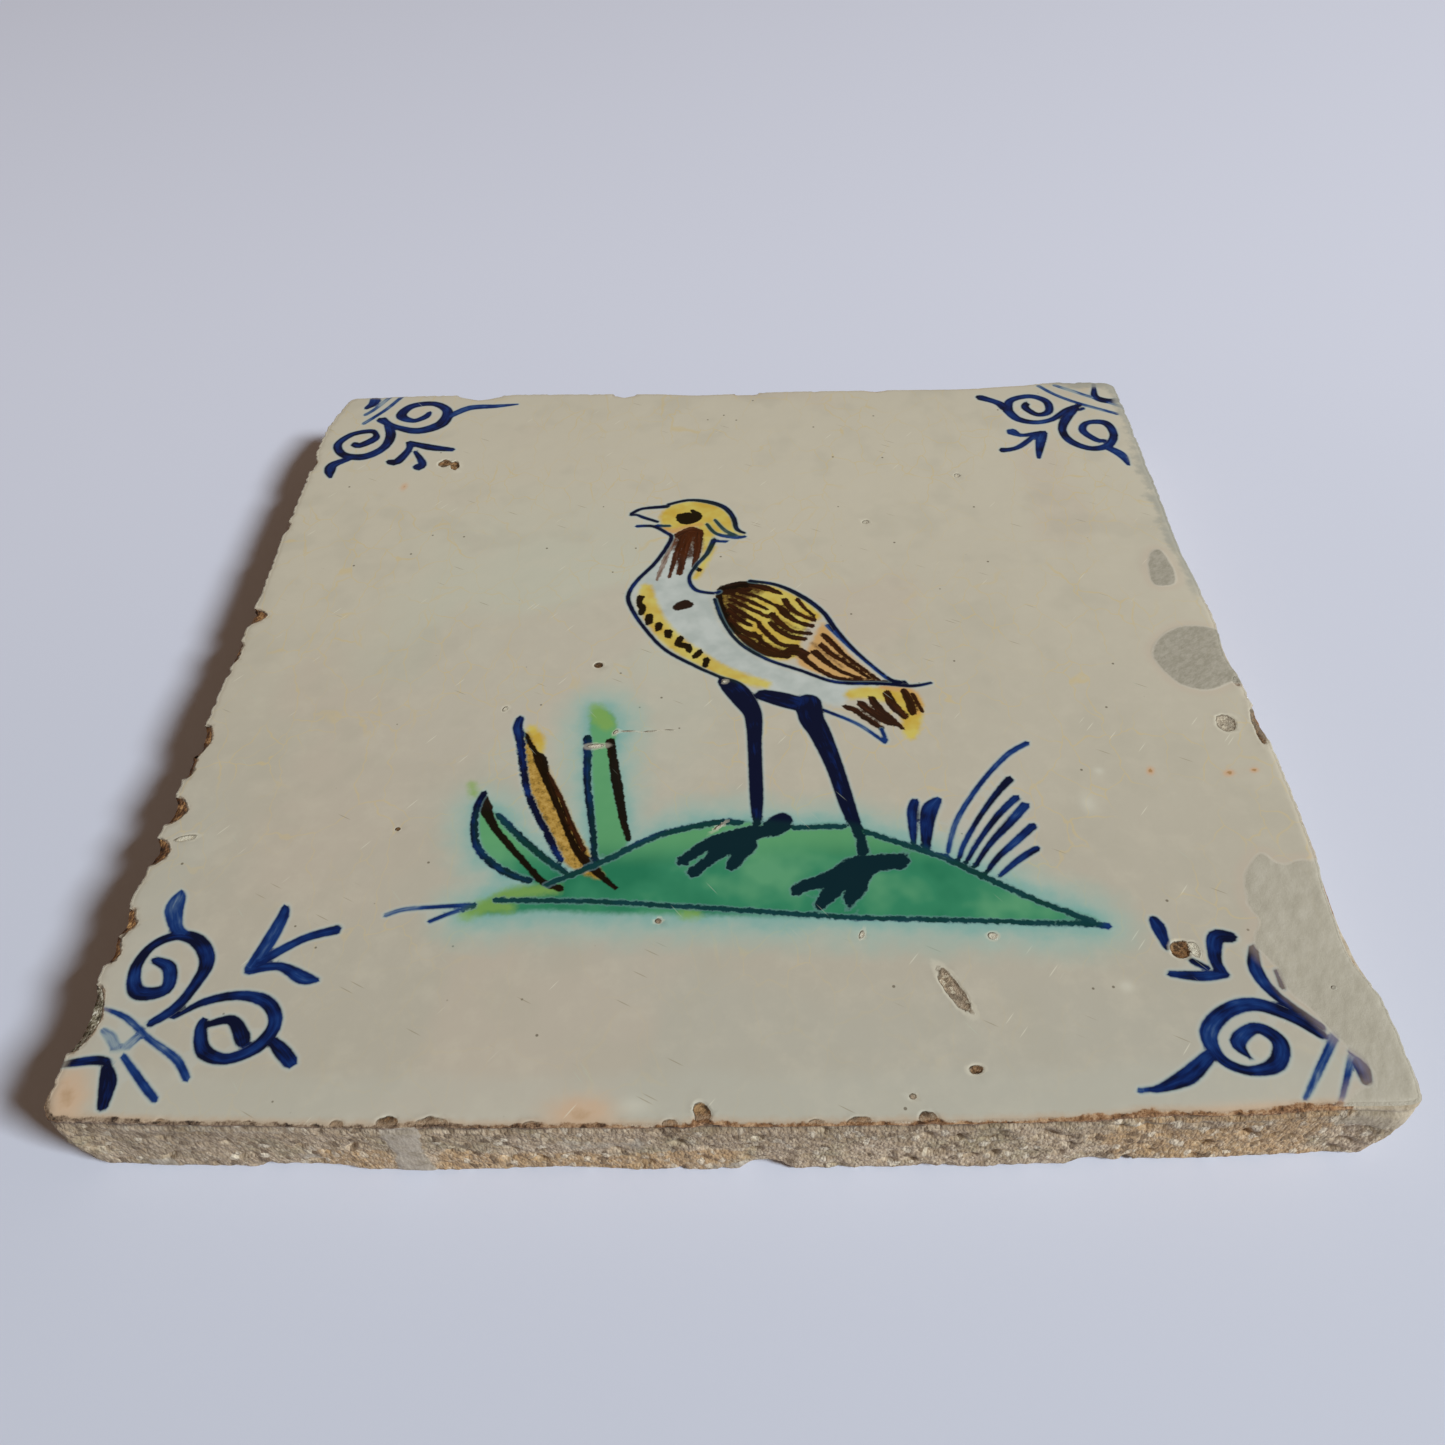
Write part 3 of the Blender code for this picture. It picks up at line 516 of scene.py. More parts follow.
def outline_distance(spots, outline):
    """How far each spot is outside a closed outline: negative inside."""
    found = np.full(len(spots), FAR)
    low, high = outline.min(0) - FAR, outline.max(0) + FAR
    near = np.flatnonzero(np.all((spots > low) & (spots < high), axis=1))
    here = spots[near]
    least = np.full(len(near), FAR)
    inside = np.zeros(len(near), bool)
    for start, end in zip(outline, np.roll(outline, -1, axis=0)):
        run = end - start
        share = np.clip(((here - start) @ run) / (run @ run), 0, 1)
        least = np.minimum(least, np.linalg.norm(here - start - share[:, None] * run, axis=1))
        if start[1] != end[1]:
            crosses = (start[1] > here[:, 1]) != (end[1] > here[:, 1])
            inside ^= crosses & (here[:, 0] < start[0] + run[0] * (here[:, 1] - start[1]) / run[1])
    found[near] = np.where(inside, -least, least)
    return found


class Coat:
    """What one pigment leaves on the face: how far away, how dark, and the brush's run."""

    def __init__(self, spots):
        self.spots = spots
        self.distance = np.full(len(spots), FAR)
        self.load = np.zeros(len(spots))
        self.brush = np.zeros((len(spots), 3))

    def take(self, near, distance, load, brush=None):
        nearer = distance < self.distance[near]
        kept = near[nearer]
        self.distance[kept] = distance[nearer]
        self.load[kept] = load
        if brush is not None:
            self.brush[kept] = brush[nearer]

    def add_stroke(self, load, line, number, margin=2.5):
        flat = line[:, :2]
        reach = line[:, 2].max() + margin
        low, high = flat.min(0) - reach, flat.max(0) + reach
        near = np.flatnonzero(np.all((self.spots > low) & (self.spots < high), axis=1))
        gone = 0.0
        for start, end in zip(line, line[1:]):
            run = end[:2] - start[:2]
            length = max(1e-6, math.hypot(*run))
            offset = self.spots[near] - start[:2]
            share = np.clip((offset @ run) / length ** 2, 0, 1)
            width = start[2] + (end[2] - start[2]) * share
            distance = np.linalg.norm(offset - share[:, None] * run, axis=1) - width
            across = (offset[:, 1] * run[0] - offset[:, 0] * run[1]) / length
            brush = np.column_stack((gone + share * length, across, np.full(len(near), number)))
            self.take(near, distance, load, brush)
            gone += length

    def add_wash(self, outline):
        distance = outline_distance(self.spots, outline)
        self.take(np.arange(len(self.spots)), distance, WASH_LOAD)


def lay(pigment, spots):
    """All the strokes and washes of one pigment."""
    coat = Coat(spots)
    for number, (load, line) in enumerate(painted[pigment]):
        if load is None:
            coat.add_wash(smooth_outline(line))
        else:
            coat.add_stroke(load, line, number)
    return coat


class Scatter:
    """Points for the face's mesh, none closer to another than it should be."""

    def __init__(self):
        self.cells = {}
        self.points = []

    def add(self, x, y, gap):
        """Keeps the point, unless an earlier one is nearer than the gap."""
        column, row = int(x // CLOSEST), int(y // CLOSEST)
        ring = math.ceil(gap / CLOSEST)
        for i in range(column - ring, column + ring + 1):
            for j in range(row - ring, row + ring + 1):
                for px, py in self.cells.get((i, j), ()):
                    if (px - x) ** 2 + (py - y) ** 2 < gap * gap:
                        return
        self.cells.setdefault((column, row), []).append((x, y))
        self.points.append((x, y))


def plane_tree(places):
    """Finds the nearest of some places in the plane."""
    tree = KDTree(len(places))
    for i, (x, y) in enumerate(places):
        tree.insert((x, y, 0), i)
    tree.balance()
    return tree


def rim_distance(spots):
    """How far inside the rim each spot lies, and which rim point is nearest."""
    fine = np.concatenate([rim + (np.roll(rim, -1, axis=0) - rim) * t for t in (0, 0.25, 0.5, 0.75)])
    owner = np.tile(np.arange(len(rim)), 4)
    tree = plane_tree(fine)
    distance, nearest = np.empty(len(spots)), np.empty(len(spots), int)
    for i, (x, y) in enumerate(spots):
        _, found, away = tree.find((x, y, 0))
        nearest[i] = owner[found]
        inwards = (rim[nearest[i]] - (x, y)) @ rim_out[nearest[i]]
        distance[i] = away if inwards > 0 else -away
    return distance, nearest


def rings_round(mark, shares, spacing):
    """Points on ellipses round a flaw or a stain."""
    for share in shares:
        count = max(6, round(math.tau * mark.half_length * share / spacing))
        for i in range(count):
            angle = math.tau * (i + 0.5 * share) / count
            along = mark.half_length * share * math.cos(angle)
            across = mark.half_width * share * math.sin(angle)
            yield (mark.x + along * math.cos(mark.turn) - across * math.sin(mark.turn),
                   mark.y + along * math.sin(mark.turn) + across * math.cos(mark.turn))


def shaken_grid(low, high, step, seed):
    """A grid of points over a rectangle, each moved a little from its place."""
    shake = random.Random(seed)
    for i in range(round((high[0] - low[0]) / step)):
        for j in range(round((high[1] - low[1]) / step)):
            yield (low[0] + (i + shake.uniform(0.2, 0.8)) * step,
                   low[1] + (j + shake.uniform(0.2, 0.8)) * step)


def beside(line):
    """Places on both edges of a stroke, halfway out to them and a little past them."""
    run = np.gradient(line[:, :2], axis=0)
    side = np.column_stack((-run[:, 1], run[:, 0]))
    side /= np.maximum(1e-6, np.linalg.norm(side, axis=1))[:, None]
    places = []
    for share, past in ((1, 0), (-1, 0), (1, PAST_EDGE), (-1, PAST_EDGE), (0.5, 0), (-0.5, 0)):
        move = line[:, 2] * share + past * np.sign(share)
        places += [(x, y, CLOSEST * 1.4) for x, y in line[:, :2] + side * move[:, None]]
    return places


def scatter_face():
    """The face's points: the rim, rows inside it, then the strokes, then the rest."""
    scatter = Scatter()
    for x, y in rim:
        scatter.cells.setdefault((int(x // CLOSEST), int(y // CLOSEST)), []).append((x, y))
    wanted = [(x, y, gap) for row, gap in RIM_ROWS for x, y in rim - rim_out * row]
    for pigment in PIGMENTS[:-1]:
        for load, line in painted[pigment]:
            if load is None:
                wanted += [(x, y, CLOSEST * 2) for x, y in smooth_outline(line)]
                continue
            wanted += [(x, y, CLOSEST) for x, y, _ in line]
            if pigment in ("blue", "brown"):
                wanted += beside(line)
    for flaw in FLAWS:
        wanted += [(x, y, CLOSEST) for x, y in rings_round(flaw, FLAW_RINGS, 0.17)]
    for stain in STAINS:
        wanted += [(x, y, CLOSEST * 1.6) for x, y in rings_round(stain, STAIN_RINGS, 0.3)]
    for outline in FILLER:
        line = smooth_outline(outline, 0.4)
        wanted += [(x, y, CLOSEST * 1.6) for x, y in line]
        filler_grid = shaken_grid(line.min(0), line.max(0), FILLER_STEP, 5)
        wanted += [(x, y, FILLER_STEP * 0.6) for x, y in filler_grid]
    face_grid = shaken_grid((-HALF, -HALF), (HALF, HALF), FACE_STEP, 7)
    wanted += [(x, y, FACE_STEP * 0.5) for x, y in face_grid]
    inside, _ = rim_distance(np.array([w[:2] for w in wanted]))
    for (x, y, gap), away in zip(wanted, inside):
        if away > CLOSEST / 2:
            scatter.add(x, y, gap)
    return scatter.points


def mark_share(spots, mark):
    """How far out each spot is from a mark's middle, as a share of its half sizes."""
    x, y = (spots - (mark.x, mark.y)).T
    along = x * math.cos(mark.turn) + y * math.sin(mark.turn)
    across = y * math.cos(mark.turn) - x * math.sin(mark.turn)
    return np.hypot(along / mark.half_length, across / mark.half_width)


def flaw_reach(spots):
    """The nearest flaw's edge, with its tint, and how deep the flaws are."""
    nearest = np.full(len(spots), FAR)
    tint = np.zeros(len(spots))
    deep = np.zeros(len(spots))
    for flaw in FLAWS:
        share = mark_share(spots, flaw)
        near = np.flatnonzero(share < 3)
        for i in near:
            x, y = spots[i]
            ragged = 1 + 0.22 * fractal(x * 0.8, y * 0.8, 40.0, 3)
            away = (share[i] / ragged - 1) * flaw.half_width
            if away < nearest[i]:
                nearest[i], tint[i] = away, flaw.tint
            wall = clipped(-away / FLAW_WALL)
            lumps = 0.75 + 0.5 * fractal(x * 1.1, y * 1.1, 43.0, 3)
            lip = FLAW_LIP * math.exp(-((away - LIP_OUT) / LIP_WIDTH) ** 2)
            deep[i] = max(deep[i], flaw.depth * wall * lumps) - flaw.depth * lip
    return nearest, tint, deep


rim_height = THICKNESS - GLAZE_EDGE
points = list(map(tuple, rim)) + scatter_face()
corners, _, triangles, origins = geometry.delaunay_2d_cdt(
    [Vector(p) for p in points], [], [list(range(len(rim)))], 1, 1e-6)[:4]
spots = np.array([c[:] for c in corners])
rim_corner = {}
for index, sources in enumerate(origins):
    for source in sources:
        if source < len(rim):
            rim_corner[source] = index

inward, owner = rim_distance(spots)
on_rim = np.zeros(len(spots), bool)
on_rim[[rim_corner[i] for i in range(len(rim))]] = True
inward[on_rim] = 0
broken_here = broken[owner] * np.clip(1 - inward / 3, 0, 1)

coats = {pigment: lay(pigment, spots) for pigment in PIGMENTS}
flaw_away, flaw_tint, flaw_depth = flaw_reach(spots)
filled = np.min([outline_distance(spots, smooth_outline(o, 0.4)) for o in FILLER], axis=0)
orange_stain, pale_stain = np.zeros(len(spots)), np.zeros(len(spots))
for stain in STAINS:
    strength = np.exp(-1.4 * mark_share(spots, stain) ** 2)
    orange_stain = np.maximum(orange_stain, strength * stain.tint)
    pale_stain = np.maximum(pale_stain, strength * (1 - stain.tint))

# The face sinks a little towards the rim, and turns over it: sharply where it is broken
SHY = 0.05                  # the face stays this far under the solid's top
SWELL = 0.05                # it rises and falls by about this much
SINK, SINK_WIDTH = 0.08, 2.2
PEEL = 0.010                # the depth of the glaze's orange peel
FILLER_RISE = 0.015         # the filler stands up this much
SMEARS, LUMPS = 0.045, 0.012    # and its smears and lumps this much more or less
TURN_WIDTH = 0.15           # the glaze turns over the rim within about this
SHARPER = 0.08              # and within this much less where it is broken
turn_width = TURN_WIDTH - SHARPER * broken_here
drop = GLAZE_EDGE * np.exp(-inward / turn_width) + SINK * np.exp(-inward / SINK_WIDTH)
swell = np.array([fractal(x * 0.045, y * 0.045, 1.0) for x, y in spots])
orange_peel = np.array([fractal(x * 0.35, y * 0.35, 5.0, 2) for x, y in spots])
smear = np.array([fractal(x * 0.55 + y * 0.30, y * 0.16 - x * 0.09, 9.0, 4) for x, y in spots])
lumpy = np.array([fractal(x * 0.9, y * 0.9, 12.0, 3) for x, y in spots])
level = THICKNESS - SHY - drop - SWELL * (swell + 0.6) - PEEL * orange_peel - flaw_depth
proud = np.clip(-filled / 0.6, 0, 1)
level += proud * (SMEARS * smear + LUMPS * lumpy + FILLER_RISE)
level = np.clip(level, rim_height + 0.02, THICKNESS - 0.005)
level[on_rim] = rim_height

# Under the rim the mesh is closed by a plate that lies hidden in the clay
SKIRT = 0.4                 # the plate's edge is this far inside the rim
UNDER_SKIRT = 0.22          # and this far below it
deepest = np.array([max(reach_now[(i + np.arange(-2, 3)) % len(rim)]) for i in range(len(rim))])
hidden = rim_points - rim_out * (deepest + SKIRT)[:, None]
vertices = np.vstack((
    np.column_stack((spots, level)),
    np.column_stack((hidden, np.full(len(hidden), rim_height - UNDER_SKIRT)))))
faces = [tuple(t) for t in triangles]
first_hidden = len(spots)
for i in range(len(rim)):
    j = (i + 1) % len(rim)
    faces.append((rim_corner[j], rim_corner[i], first_hidden + i, first_hidden + j))
faces.append(tuple(first_hidden + i for i in reversed(range(len(rim)))))


def new_piece(name, vertices, faces):
    """A mesh object from points in mm, with its place in its mesh."""
    mesh = bpy.data.meshes.new(name)
    mesh.from_pydata((np.asarray(vertices) * MM).tolist(), [], faces)
    mesh.update()
    piece = bpy.data.objects.new(name, mesh)
    bpy.context.scene.collection.objects.link(piece)
    return piece


def note(piece, name, *columns):
    """Stores up to three values on the piece's first points for its material."""
    full = np.zeros((len(piece.data.vertices), 3), np.float32)
    for i, column in enumerate(columns):
        full[:, i] = column[-1]
        full[:len(column), i] = column
    attribute = piece.data.attributes.new(name, "FLOAT_VECTOR", "POINT")
    attribute.data.foreach_set("vector", full.ravel())


def unwrap(piece, places):
    """Gives each face corner its place on the piece's flat map."""
    layer = piece.data.uv_layers.new(name="OFBake")
    corner_points = np.empty(len(piece.data.loops), int)
    piece.data.loops.foreach_get("vertex_index", corner_points)
    layer.uv.foreach_set("vector", np.asarray(places, np.float32)[corner_points].ravel())


glazed_face = new_piece("glazed_face", vertices, faces)
glazed_face.data.shade_smooth()
glazed_face.data.set_sharp_from_angle(angle=math.radians(52))
MAP_MARGIN = 1.01
unwrap(glazed_face, 0.5 + vertices[:, :2] / (2 * HALF * MAP_MARGIN))

blue, brown = coats["blue"], coats["brown"]
blue_nearer = (blue.distance < brown.distance)[:, None]
note(glazed_face, "blue", blue.distance, blue.load, coats["body"].distance)
note(glazed_face, "brown", brown.distance, brown.load, coats["umber"].distance)
note(glazed_face, "warm", coats["yellow"].distance, coats["orange"].distance, coats["ochre"].distance)
note(glazed_face, "cool", coats["green"].distance, coats["lime"].distance, filled)
note(glazed_face, "brush", *np.where(blue_nearer, blue.brush, brown.brush).T)
note(glazed_face, "loss", flaw_away, flaw_tint, inward)
note(glazed_face, "stain", orange_stain, pale_stain, broken_here)

STUDIO = 0.75               # the share of full white that the studio light gives


def colour(red, green, blue):
    """A colour as it shows on the tile, from 0 to 255, made ready for a shader."""
    linear = [((c / 255 + 0.055) / 1.055) ** 2.4 if c > 10 else c / 255 / 12.92 for c in (red, green, blue)]
    return (*(min(1.0, c / STUDIO) for c in linear), 1.0)


def join(value, socket):
    """Plugs in another node's output, or sets a plain value."""
    if isinstance(value, bpy.types.NodeSocket):
        socket.id_data.links.new(value, socket)
    else:
        socket.default_value = value


def new_node(kind, values, inputs=range(9), **settings):
    """A node with values on its inputs, in the tree that one of the values comes from."""
    tree = next(v.id_data for v in values if isinstance(v, bpy.types.NodeSocket))
    node = tree.nodes.new("ShaderNode" + kind)
    for name, setting in settings.items():
        setattr(node, name, setting)
    for value, place in zip(values, inputs):
        join(value, node.inputs[place])
    return node


def calc(operation, first, second=0.0, third=0.0):
    return new_node("Math", (first, second, third), operation=operation).outputs[0]


def both(first, second):
    return calc("MULTIPLY", first, second)


def band(value, start, end, low=0.0, high=1.0):
    """Eases from low to high as the value goes from start to end."""
    return new_node("MapRange", (value, start, end, low, high), interpolation_type="SMOOTHSTEP").outputs[0]


def mixed(share, under, over):
    """One colour over another. Each is a node's output or a plain red, green and blue."""
    under, over = (c if isinstance(c, bpy.types.NodeSocket) else colour(*c) for c in (under, over))
    return new_node("Mix", (share, under, over), (0, 6, 7), data_type="RGBA").outputs[2]


def ramp(value, *stops):
    """Runs through the stops' colours as the value grows."""
    node = new_node("ValToRGB", (value,))
    while len(node.color_ramp.elements) < len(stops):
        node.color_ramp.elements.new(0.5)
    for element, (place, tint) in zip(node.color_ramp.elements, stops):
        element.position = place
        element.color = colour(*tint)
    return node.outputs[0]


def parts(vector):
    return tuple(new_node("SeparateXYZ", (vector,)).outputs)


def vector_calc(operation, *values):
    return new_node("VectorMath", values, operation=operation).outputs[operation == "LENGTH"]


def places_in_mm(tree, stretch=(1, 1, 1), turn=0.0):
    """Object coordinates in mm, so that a pattern's scale is per mm."""
    place = tree.nodes.new("ShaderNodeTexCoord").outputs["Object"]
    turned = new_node("Mapping", (place, (0, 0, turn)), ("Vector", "Rotation"))
    scale = [s / MM for s in stretch]
    return new_node("Mapping", (turned.outputs[0], scale), ("Vector", "Scale")).outputs[0]


def noise_node(place, scale, detail, roughness):
    return new_node("TexNoise", (place, scale, detail, roughness), ("Vector", "Scale", "Detail", "Roughness"))


def cloud(place, scale, detail=3.0, roughness=0.55):
    return noise_node(place, scale, detail, roughness).outputs["Fac"]


def shaken(value, noise_now, amount):
    """A value made ragged: noise moves it up and down by about half the amount."""
    return calc("ADD", value, calc("MULTIPLY_ADD", noise_now, amount, -amount / 2))


def wavering(value, place, scale, amount, detail=3.0, roughness=0.6):
    return shaken(value, cloud(place, scale, detail, roughness), amount)


def cells(place, scale):
    """Distance from the middle of a random cell, and each cell's own random value."""
    node = new_node("TexVoronoi", (place, scale), ("Vector", "Scale"))
    pick = new_node("SeparateColor", (node.outputs["Color"],))
    return node.outputs["Distance"], pick.outputs[0]


def cell_edges(place, scale):
    node = new_node("TexVoronoi", (place, scale), ("Vector", "Scale"), feature="DISTANCE_TO_EDGE")
    return node.outputs["Distance"]


def noted(tree, name):
    """The three values stored on the points under this name."""
    node = tree.nodes.new("ShaderNodeAttribute")
    node.attribute_name = name
    return parts(node.outputs["Vector"])


def new_finish(name):
    material = bpy.data.materials.new(name)
    material.use_nodes = True
    return material, material.node_tree, material.node_tree.nodes["Principled BSDF"]


def bumped(shader, height, distance):
    node = new_node("Bump", (height, distance * MM), ("Height", "Distance"))
    join(node.outputs[0], shader.inputs["Normal"])


def open_clay(place):
    """Broken Dutch clay: buff to orange-brown, sandy, with dark and pale grains."""
    body = ramp(cloud(place, 0.35, 4), (0.32, (96, 62, 34)), (0.50, (142, 98, 58)),
                (0.68, (186, 148, 104)))
    dark = band(cloud(place, 1.5, 3, 0.7), 0.54, 0.70, 0, 0.75)
    body = mixed(dark, body, (62, 38, 20))
    return mixed(band(cloud(place, 2.1, 2), 0.62, 0.74, 0, 0.6), body, (204, 186, 156))


def fired_clay(place, sideways):
    """The colours of the line that the kiln burnt under the lip, also used for the shade painted under it:
    greyer at the left, more orange at the right.
    """
    spots = cloud(place, 0.8, 4, 0.8)
    grey = ramp(spots, (0.38, (54, 42, 34)), (0.50, (114, 94, 76)), (0.62, (154, 134, 112)))
    red = ramp(spots, (0.38, (66, 44, 28)), (0.50, (128, 92, 62)), (0.62, (170, 138, 106)))
    return mixed(band(wavering(sideways, place, 0.1, 30), -35, -5), grey, red)


tin_glaze, tree, shader = new_finish("tin_glaze")
place = places_in_mm(tree)
blue_away, blue_load, body_away = noted(tree, "blue")
brown_away, brown_load, umber_away = noted(tree, "brown")
yellow_away, orange_away, ochre_away = noted(tree, "warm")
green_away, lime_away, filler_away = noted(tree, "cool")
brush_run, brush_side, brush_number = noted(tree, "brush")
flaw_edge, flaw_shade, from_rim = noted(tree, "loss")
stained, paled, bite = noted(tree, "stain")

# The white: creamy, with warm and greenish drifts, a fine crackle, specks and scratches.
# It is painted darker and greyer towards the front, a painted shade for light that is brighter at the back
TO_POOL = (22, 0, 0)        # a greenish pool in the white has its middle this far left
sideways, back_and_forth, _ = parts(place)
from_pool = vector_calc("LENGTH", vector_calc("ADD", places_in_mm(tree, (1, 0.75, 0)), TO_POOL))
farther = wavering(back_and_forth, place, 0.02, 60)
# Painted light and shade: this white and the greenish one below are darker towards the front and paler at the
# back
white = mixed(band(farther, -62, 45), (168, 160, 144), (183, 174, 155))
drift = cloud(place, 0.030, 2, 0.5)
greenish = mixed(band(farther, -62, 20), (167, 162, 148), (179, 175, 157))
pool = wavering(from_pool, place, 0.05, 22)
near_front = both(band(farther, -42, -54), band(sideways, -28, -8, 0, 0.6))
white = mixed(calc("MAXIMUM", band(pool, 34, 12), near_front), white, greenish)
white = mixed(band(drift, 0.46, 0.38, 0, 0.45), white, (178, 164, 147))
mottle = cloud(place, 0.30, 4, 0.62)
white = mixed(band(mottle, 0.44, 0.74, 0, 0.30), white, (186, 177, 158))
white = mixed(band(cloud(place, 0.14, 2), 0.50, 0.70, 0, 0.28), white, (164, 157, 140))
front_rim = band(back_and_forth, -60.5, -63.6)
beside_rim = band(wavering(from_rim, place, 0.2, 2.0), 6.2, 3.8, 0, 0.35)
white = mixed(both(beside_rim, band(farther, -20, -50)), white, (172, 170, 157))
wander = noise_node(place, 0.25, 2, 0.5).outputs["Color"]
crack_place = vector_calc("MULTIPLY_ADD", wander, (3.0, 3.0, 0), places_in_mm(tree, (1, 0.6, 1)))
crack = cell_edges(crack_place, 0.11)
fine_crack = cell_edges(crack_place, 0.24)
patchy = band(cloud(place, 0.07, 1), 0.40, 0.60)
crackle = calc("MAXIMUM", both(band(crack, 0.010, 0.002, 0, 0.7), band(drift, 0.60, 0.42)),
               both(band(fine_crack, 0.020, 0.004, 0, 0.9), patchy))
crackle = both(crackle, band(farther, -52, -30, 0.2, 1))
white = mixed(both(crackle, 0.65), white, (188, 168, 124))
blush = wavering(stained, place, 0.9, 0.25, 3)
white = mixed(band(blush, 0.0, 0.8, 0, 0.8), white, (190, 152, 118))
white = mixed(band(blush, 0.62, 0.86, 0, 0.75), white, (146, 108, 62))
white = mixed(both(paled, 0.5), white, (196, 192, 176))
spot_reach, spot_pick = cells(place, 0.40)
specks = both(band(spot_reach, 0.085, 0.05), band(spot_pick, 0.74, 0.76))
white = mixed(both(specks, 0.75), white, (88, 78, 62))
for turn, tint in ((0.5, (134, 122, 99)), (-0.9, (206, 200, 180))):
    line_reach, line_pick = cells(places_in_mm(tree, (0.12, 1.8, 0.12), turn), 1.0)
    scratches = both(band(line_reach, 0.14, 0.06), band(line_pick, 0.86, 0.88))
    white = mixed(both(scratches, 0.55), white, tint)

# Washes sunk in the glaze, each with the halo that it bled into the white
painting = mixed(band(blue_away, 0.6, 0.15, 0, 0.25), white, (176, 188, 186))
ragged = cloud(place, 1.5, 3, 0.6)
body_edge = shaken(body_away, ragged, 0.5)
body_tone = ramp(cloud(place, 0.35, 2), (0.35, (162, 168, 162)), (0.65, (178, 182, 176)))
painting = mixed(band(body_edge, 0.4, -0.9, 0, 0.95), painting, body_tone)
halo = wavering(green_away, place, 0.35, 3.0)
painting = mixed(band(halo, 6.0, 0.8, 0, 0.62), painting, (136, 170, 160))
painting = mixed(band(halo, 2.6, -0.4, 0, 0.72), painting, (104, 156, 148))
green_edge = shaken(green_away, ragged, 0.6)
green_tone = ramp(cloud(place, 0.10, 3), (0.36, (26, 106, 72)), (0.50, (44, 120, 84)),
                  (0.64, (82, 142, 100)))
painting = mixed(band(green_edge, 0.55, -0.5, 0, 0.96), painting, green_tone)
in_leaf = both(band(back_and_forth, -36.0, -31.0), band(green_edge, 0.2, -0.3))
painting = mixed(both(in_leaf, 0.8), painting, (92, 150, 100))
ochre_tone = ramp(cloud(place, 1.0, 4, 0.75), (0.34, (92, 70, 22)), (0.48, (156, 118, 40)),
                  (0.66, (184, 148, 76)))
yellow_tone = ramp(cloud(place, 0.35, 2), (0.36, (184, 150, 44)), (0.64, (192, 174, 80)))
for away, raggedness, start, end, cover, tint in (
        (lime_away, 1.0, 0.8, -0.5, 0.72, (124, 156, 74)), (ochre_away, 0.6, 0.4, -0.35, 0.95, ochre_tone),
        (yellow_away, 0.7, 0.55, -0.45, 0.92, yellow_tone),
        (orange_away, 0.7, 0.45, -0.45, 0.85, (188, 142, 76))):
    painting = mixed(band(shaken(away, ragged, raggedness), start, end, 0, cover), painting, tint)
umber_edge = shaken(umber_away, ragged, 0.9)
umber_cover = band(umber_edge, 0.3, -0.8, 0, 0.95)
painting = mixed(both(umber_cover, band(cloud(place, 1.4, 4, 0.7), 0.25, 0.6, 0.5, 1)),
                 painting, (60, 30, 14))

# Brown and blue lines: ragged at the edge, streaked along the brush, and darker
# where the colour pooled
streak_place = new_node("CombineXYZ", (both(brush_run, 0.28), both(brush_side, 2.2), both(brush_number, 9.7)))
hairs = cloud(streak_place.outputs[0], 1.0, 3, 0.65)
brown_edge = shaken(brown_away, ragged, 0.50)
brown_tone = calc("ADD", brown_load, calc("MULTIPLY_ADD", hairs, 0.7, -0.35))
brown_ink = ramp(brown_tone, (0.20, (118, 70, 34)), (0.50, (74, 34, 12)),
                 (0.75, (40, 18, 8)), (1.0, (16, 8, 4)))
brown_cover = band(brown_edge, 0.16, -0.06)
painting = mixed(both(brown_cover, band(brown_tone, 0.0, 0.6, 0.3, 0.99)), painting, brown_ink)
over_wash = band(calc("MINIMUM", green_away, ochre_away), 1.6, 0.4)
lumps = calc("SUBTRACT", ragged, 0.5)
blue_edge = calc("ADD", blue_away, both(lumps, band(over_wash, 0, 1, 0.15, 0.75)))
pooled = band(blue_away, -0.60, -0.05, 0, 0.14)
patches = calc("MULTIPLY_ADD", cloud(place, 0.30, 2), 1.1, -0.62)
blue_tone = calc("ADD", calc("ADD", blue_load, calc("ADD", pooled, patches)),
                 calc("MULTIPLY_ADD", hairs, 0.8, -0.44))
blue_ink = ramp(blue_tone, (0.10, (112, 128, 144)), (0.34, (56, 80, 118)),
                (0.56, (16, 48, 102)), (0.80, (2, 26, 76)), (1.0, (0, 6, 36)))
thin = band(blue_load, 0.98, 0.90, 0.4, 1)
for away, start, end, cover, tint in ((green_away, 1.2, 0.0, 0.85, (10, 54, 44)),
                                      (yellow_away, 0.6, -0.2, 0.75, (34, 56, 24))):
    blue_ink = mixed(both(both(band(away, start, end), thin), cover), blue_ink, tint)
painting = mixed(band(blue_edge, 0.34, 0.06, 0, 0.5), painting, (104, 132, 136))
blue_cover = band(blue_edge, 0.17, -0.05)
painting = mixed(both(blue_cover, band(blue_tone, -0.1, 0.45, 0.40, 0.99)), painting, blue_ink)

# Stains, open breaks, filler and the bare rim lie over all of it
line_reach, line_pick = cells(places_in_mm(tree, (0.10, 1.9, 0.10), 0.9), 1.0)
scratches = both(band(line_reach, 0.13, 0.06), band(line_pick, 0.84, 0.86))
surface = mixed(both(scratches, 0.35), painting, (172, 178, 160))
clay = open_clay(place)
break_edge = wavering(flaw_edge, place, 2.2, 0.22)
# A pale ring round the flaws away from the rim: the glaze's raised lip, lightened as a painted highlight
ringed = both(band(break_edge, 0.40, 0.10), band(from_rim, 1.6, 2.6, 0, 0.4))
surface = mixed(ringed, surface, (196, 188, 168))
opened = mixed(band(flaw_shade, 0.2, 0.9), (196, 188, 168), mixed(0.45, clay, (104, 80, 54)))
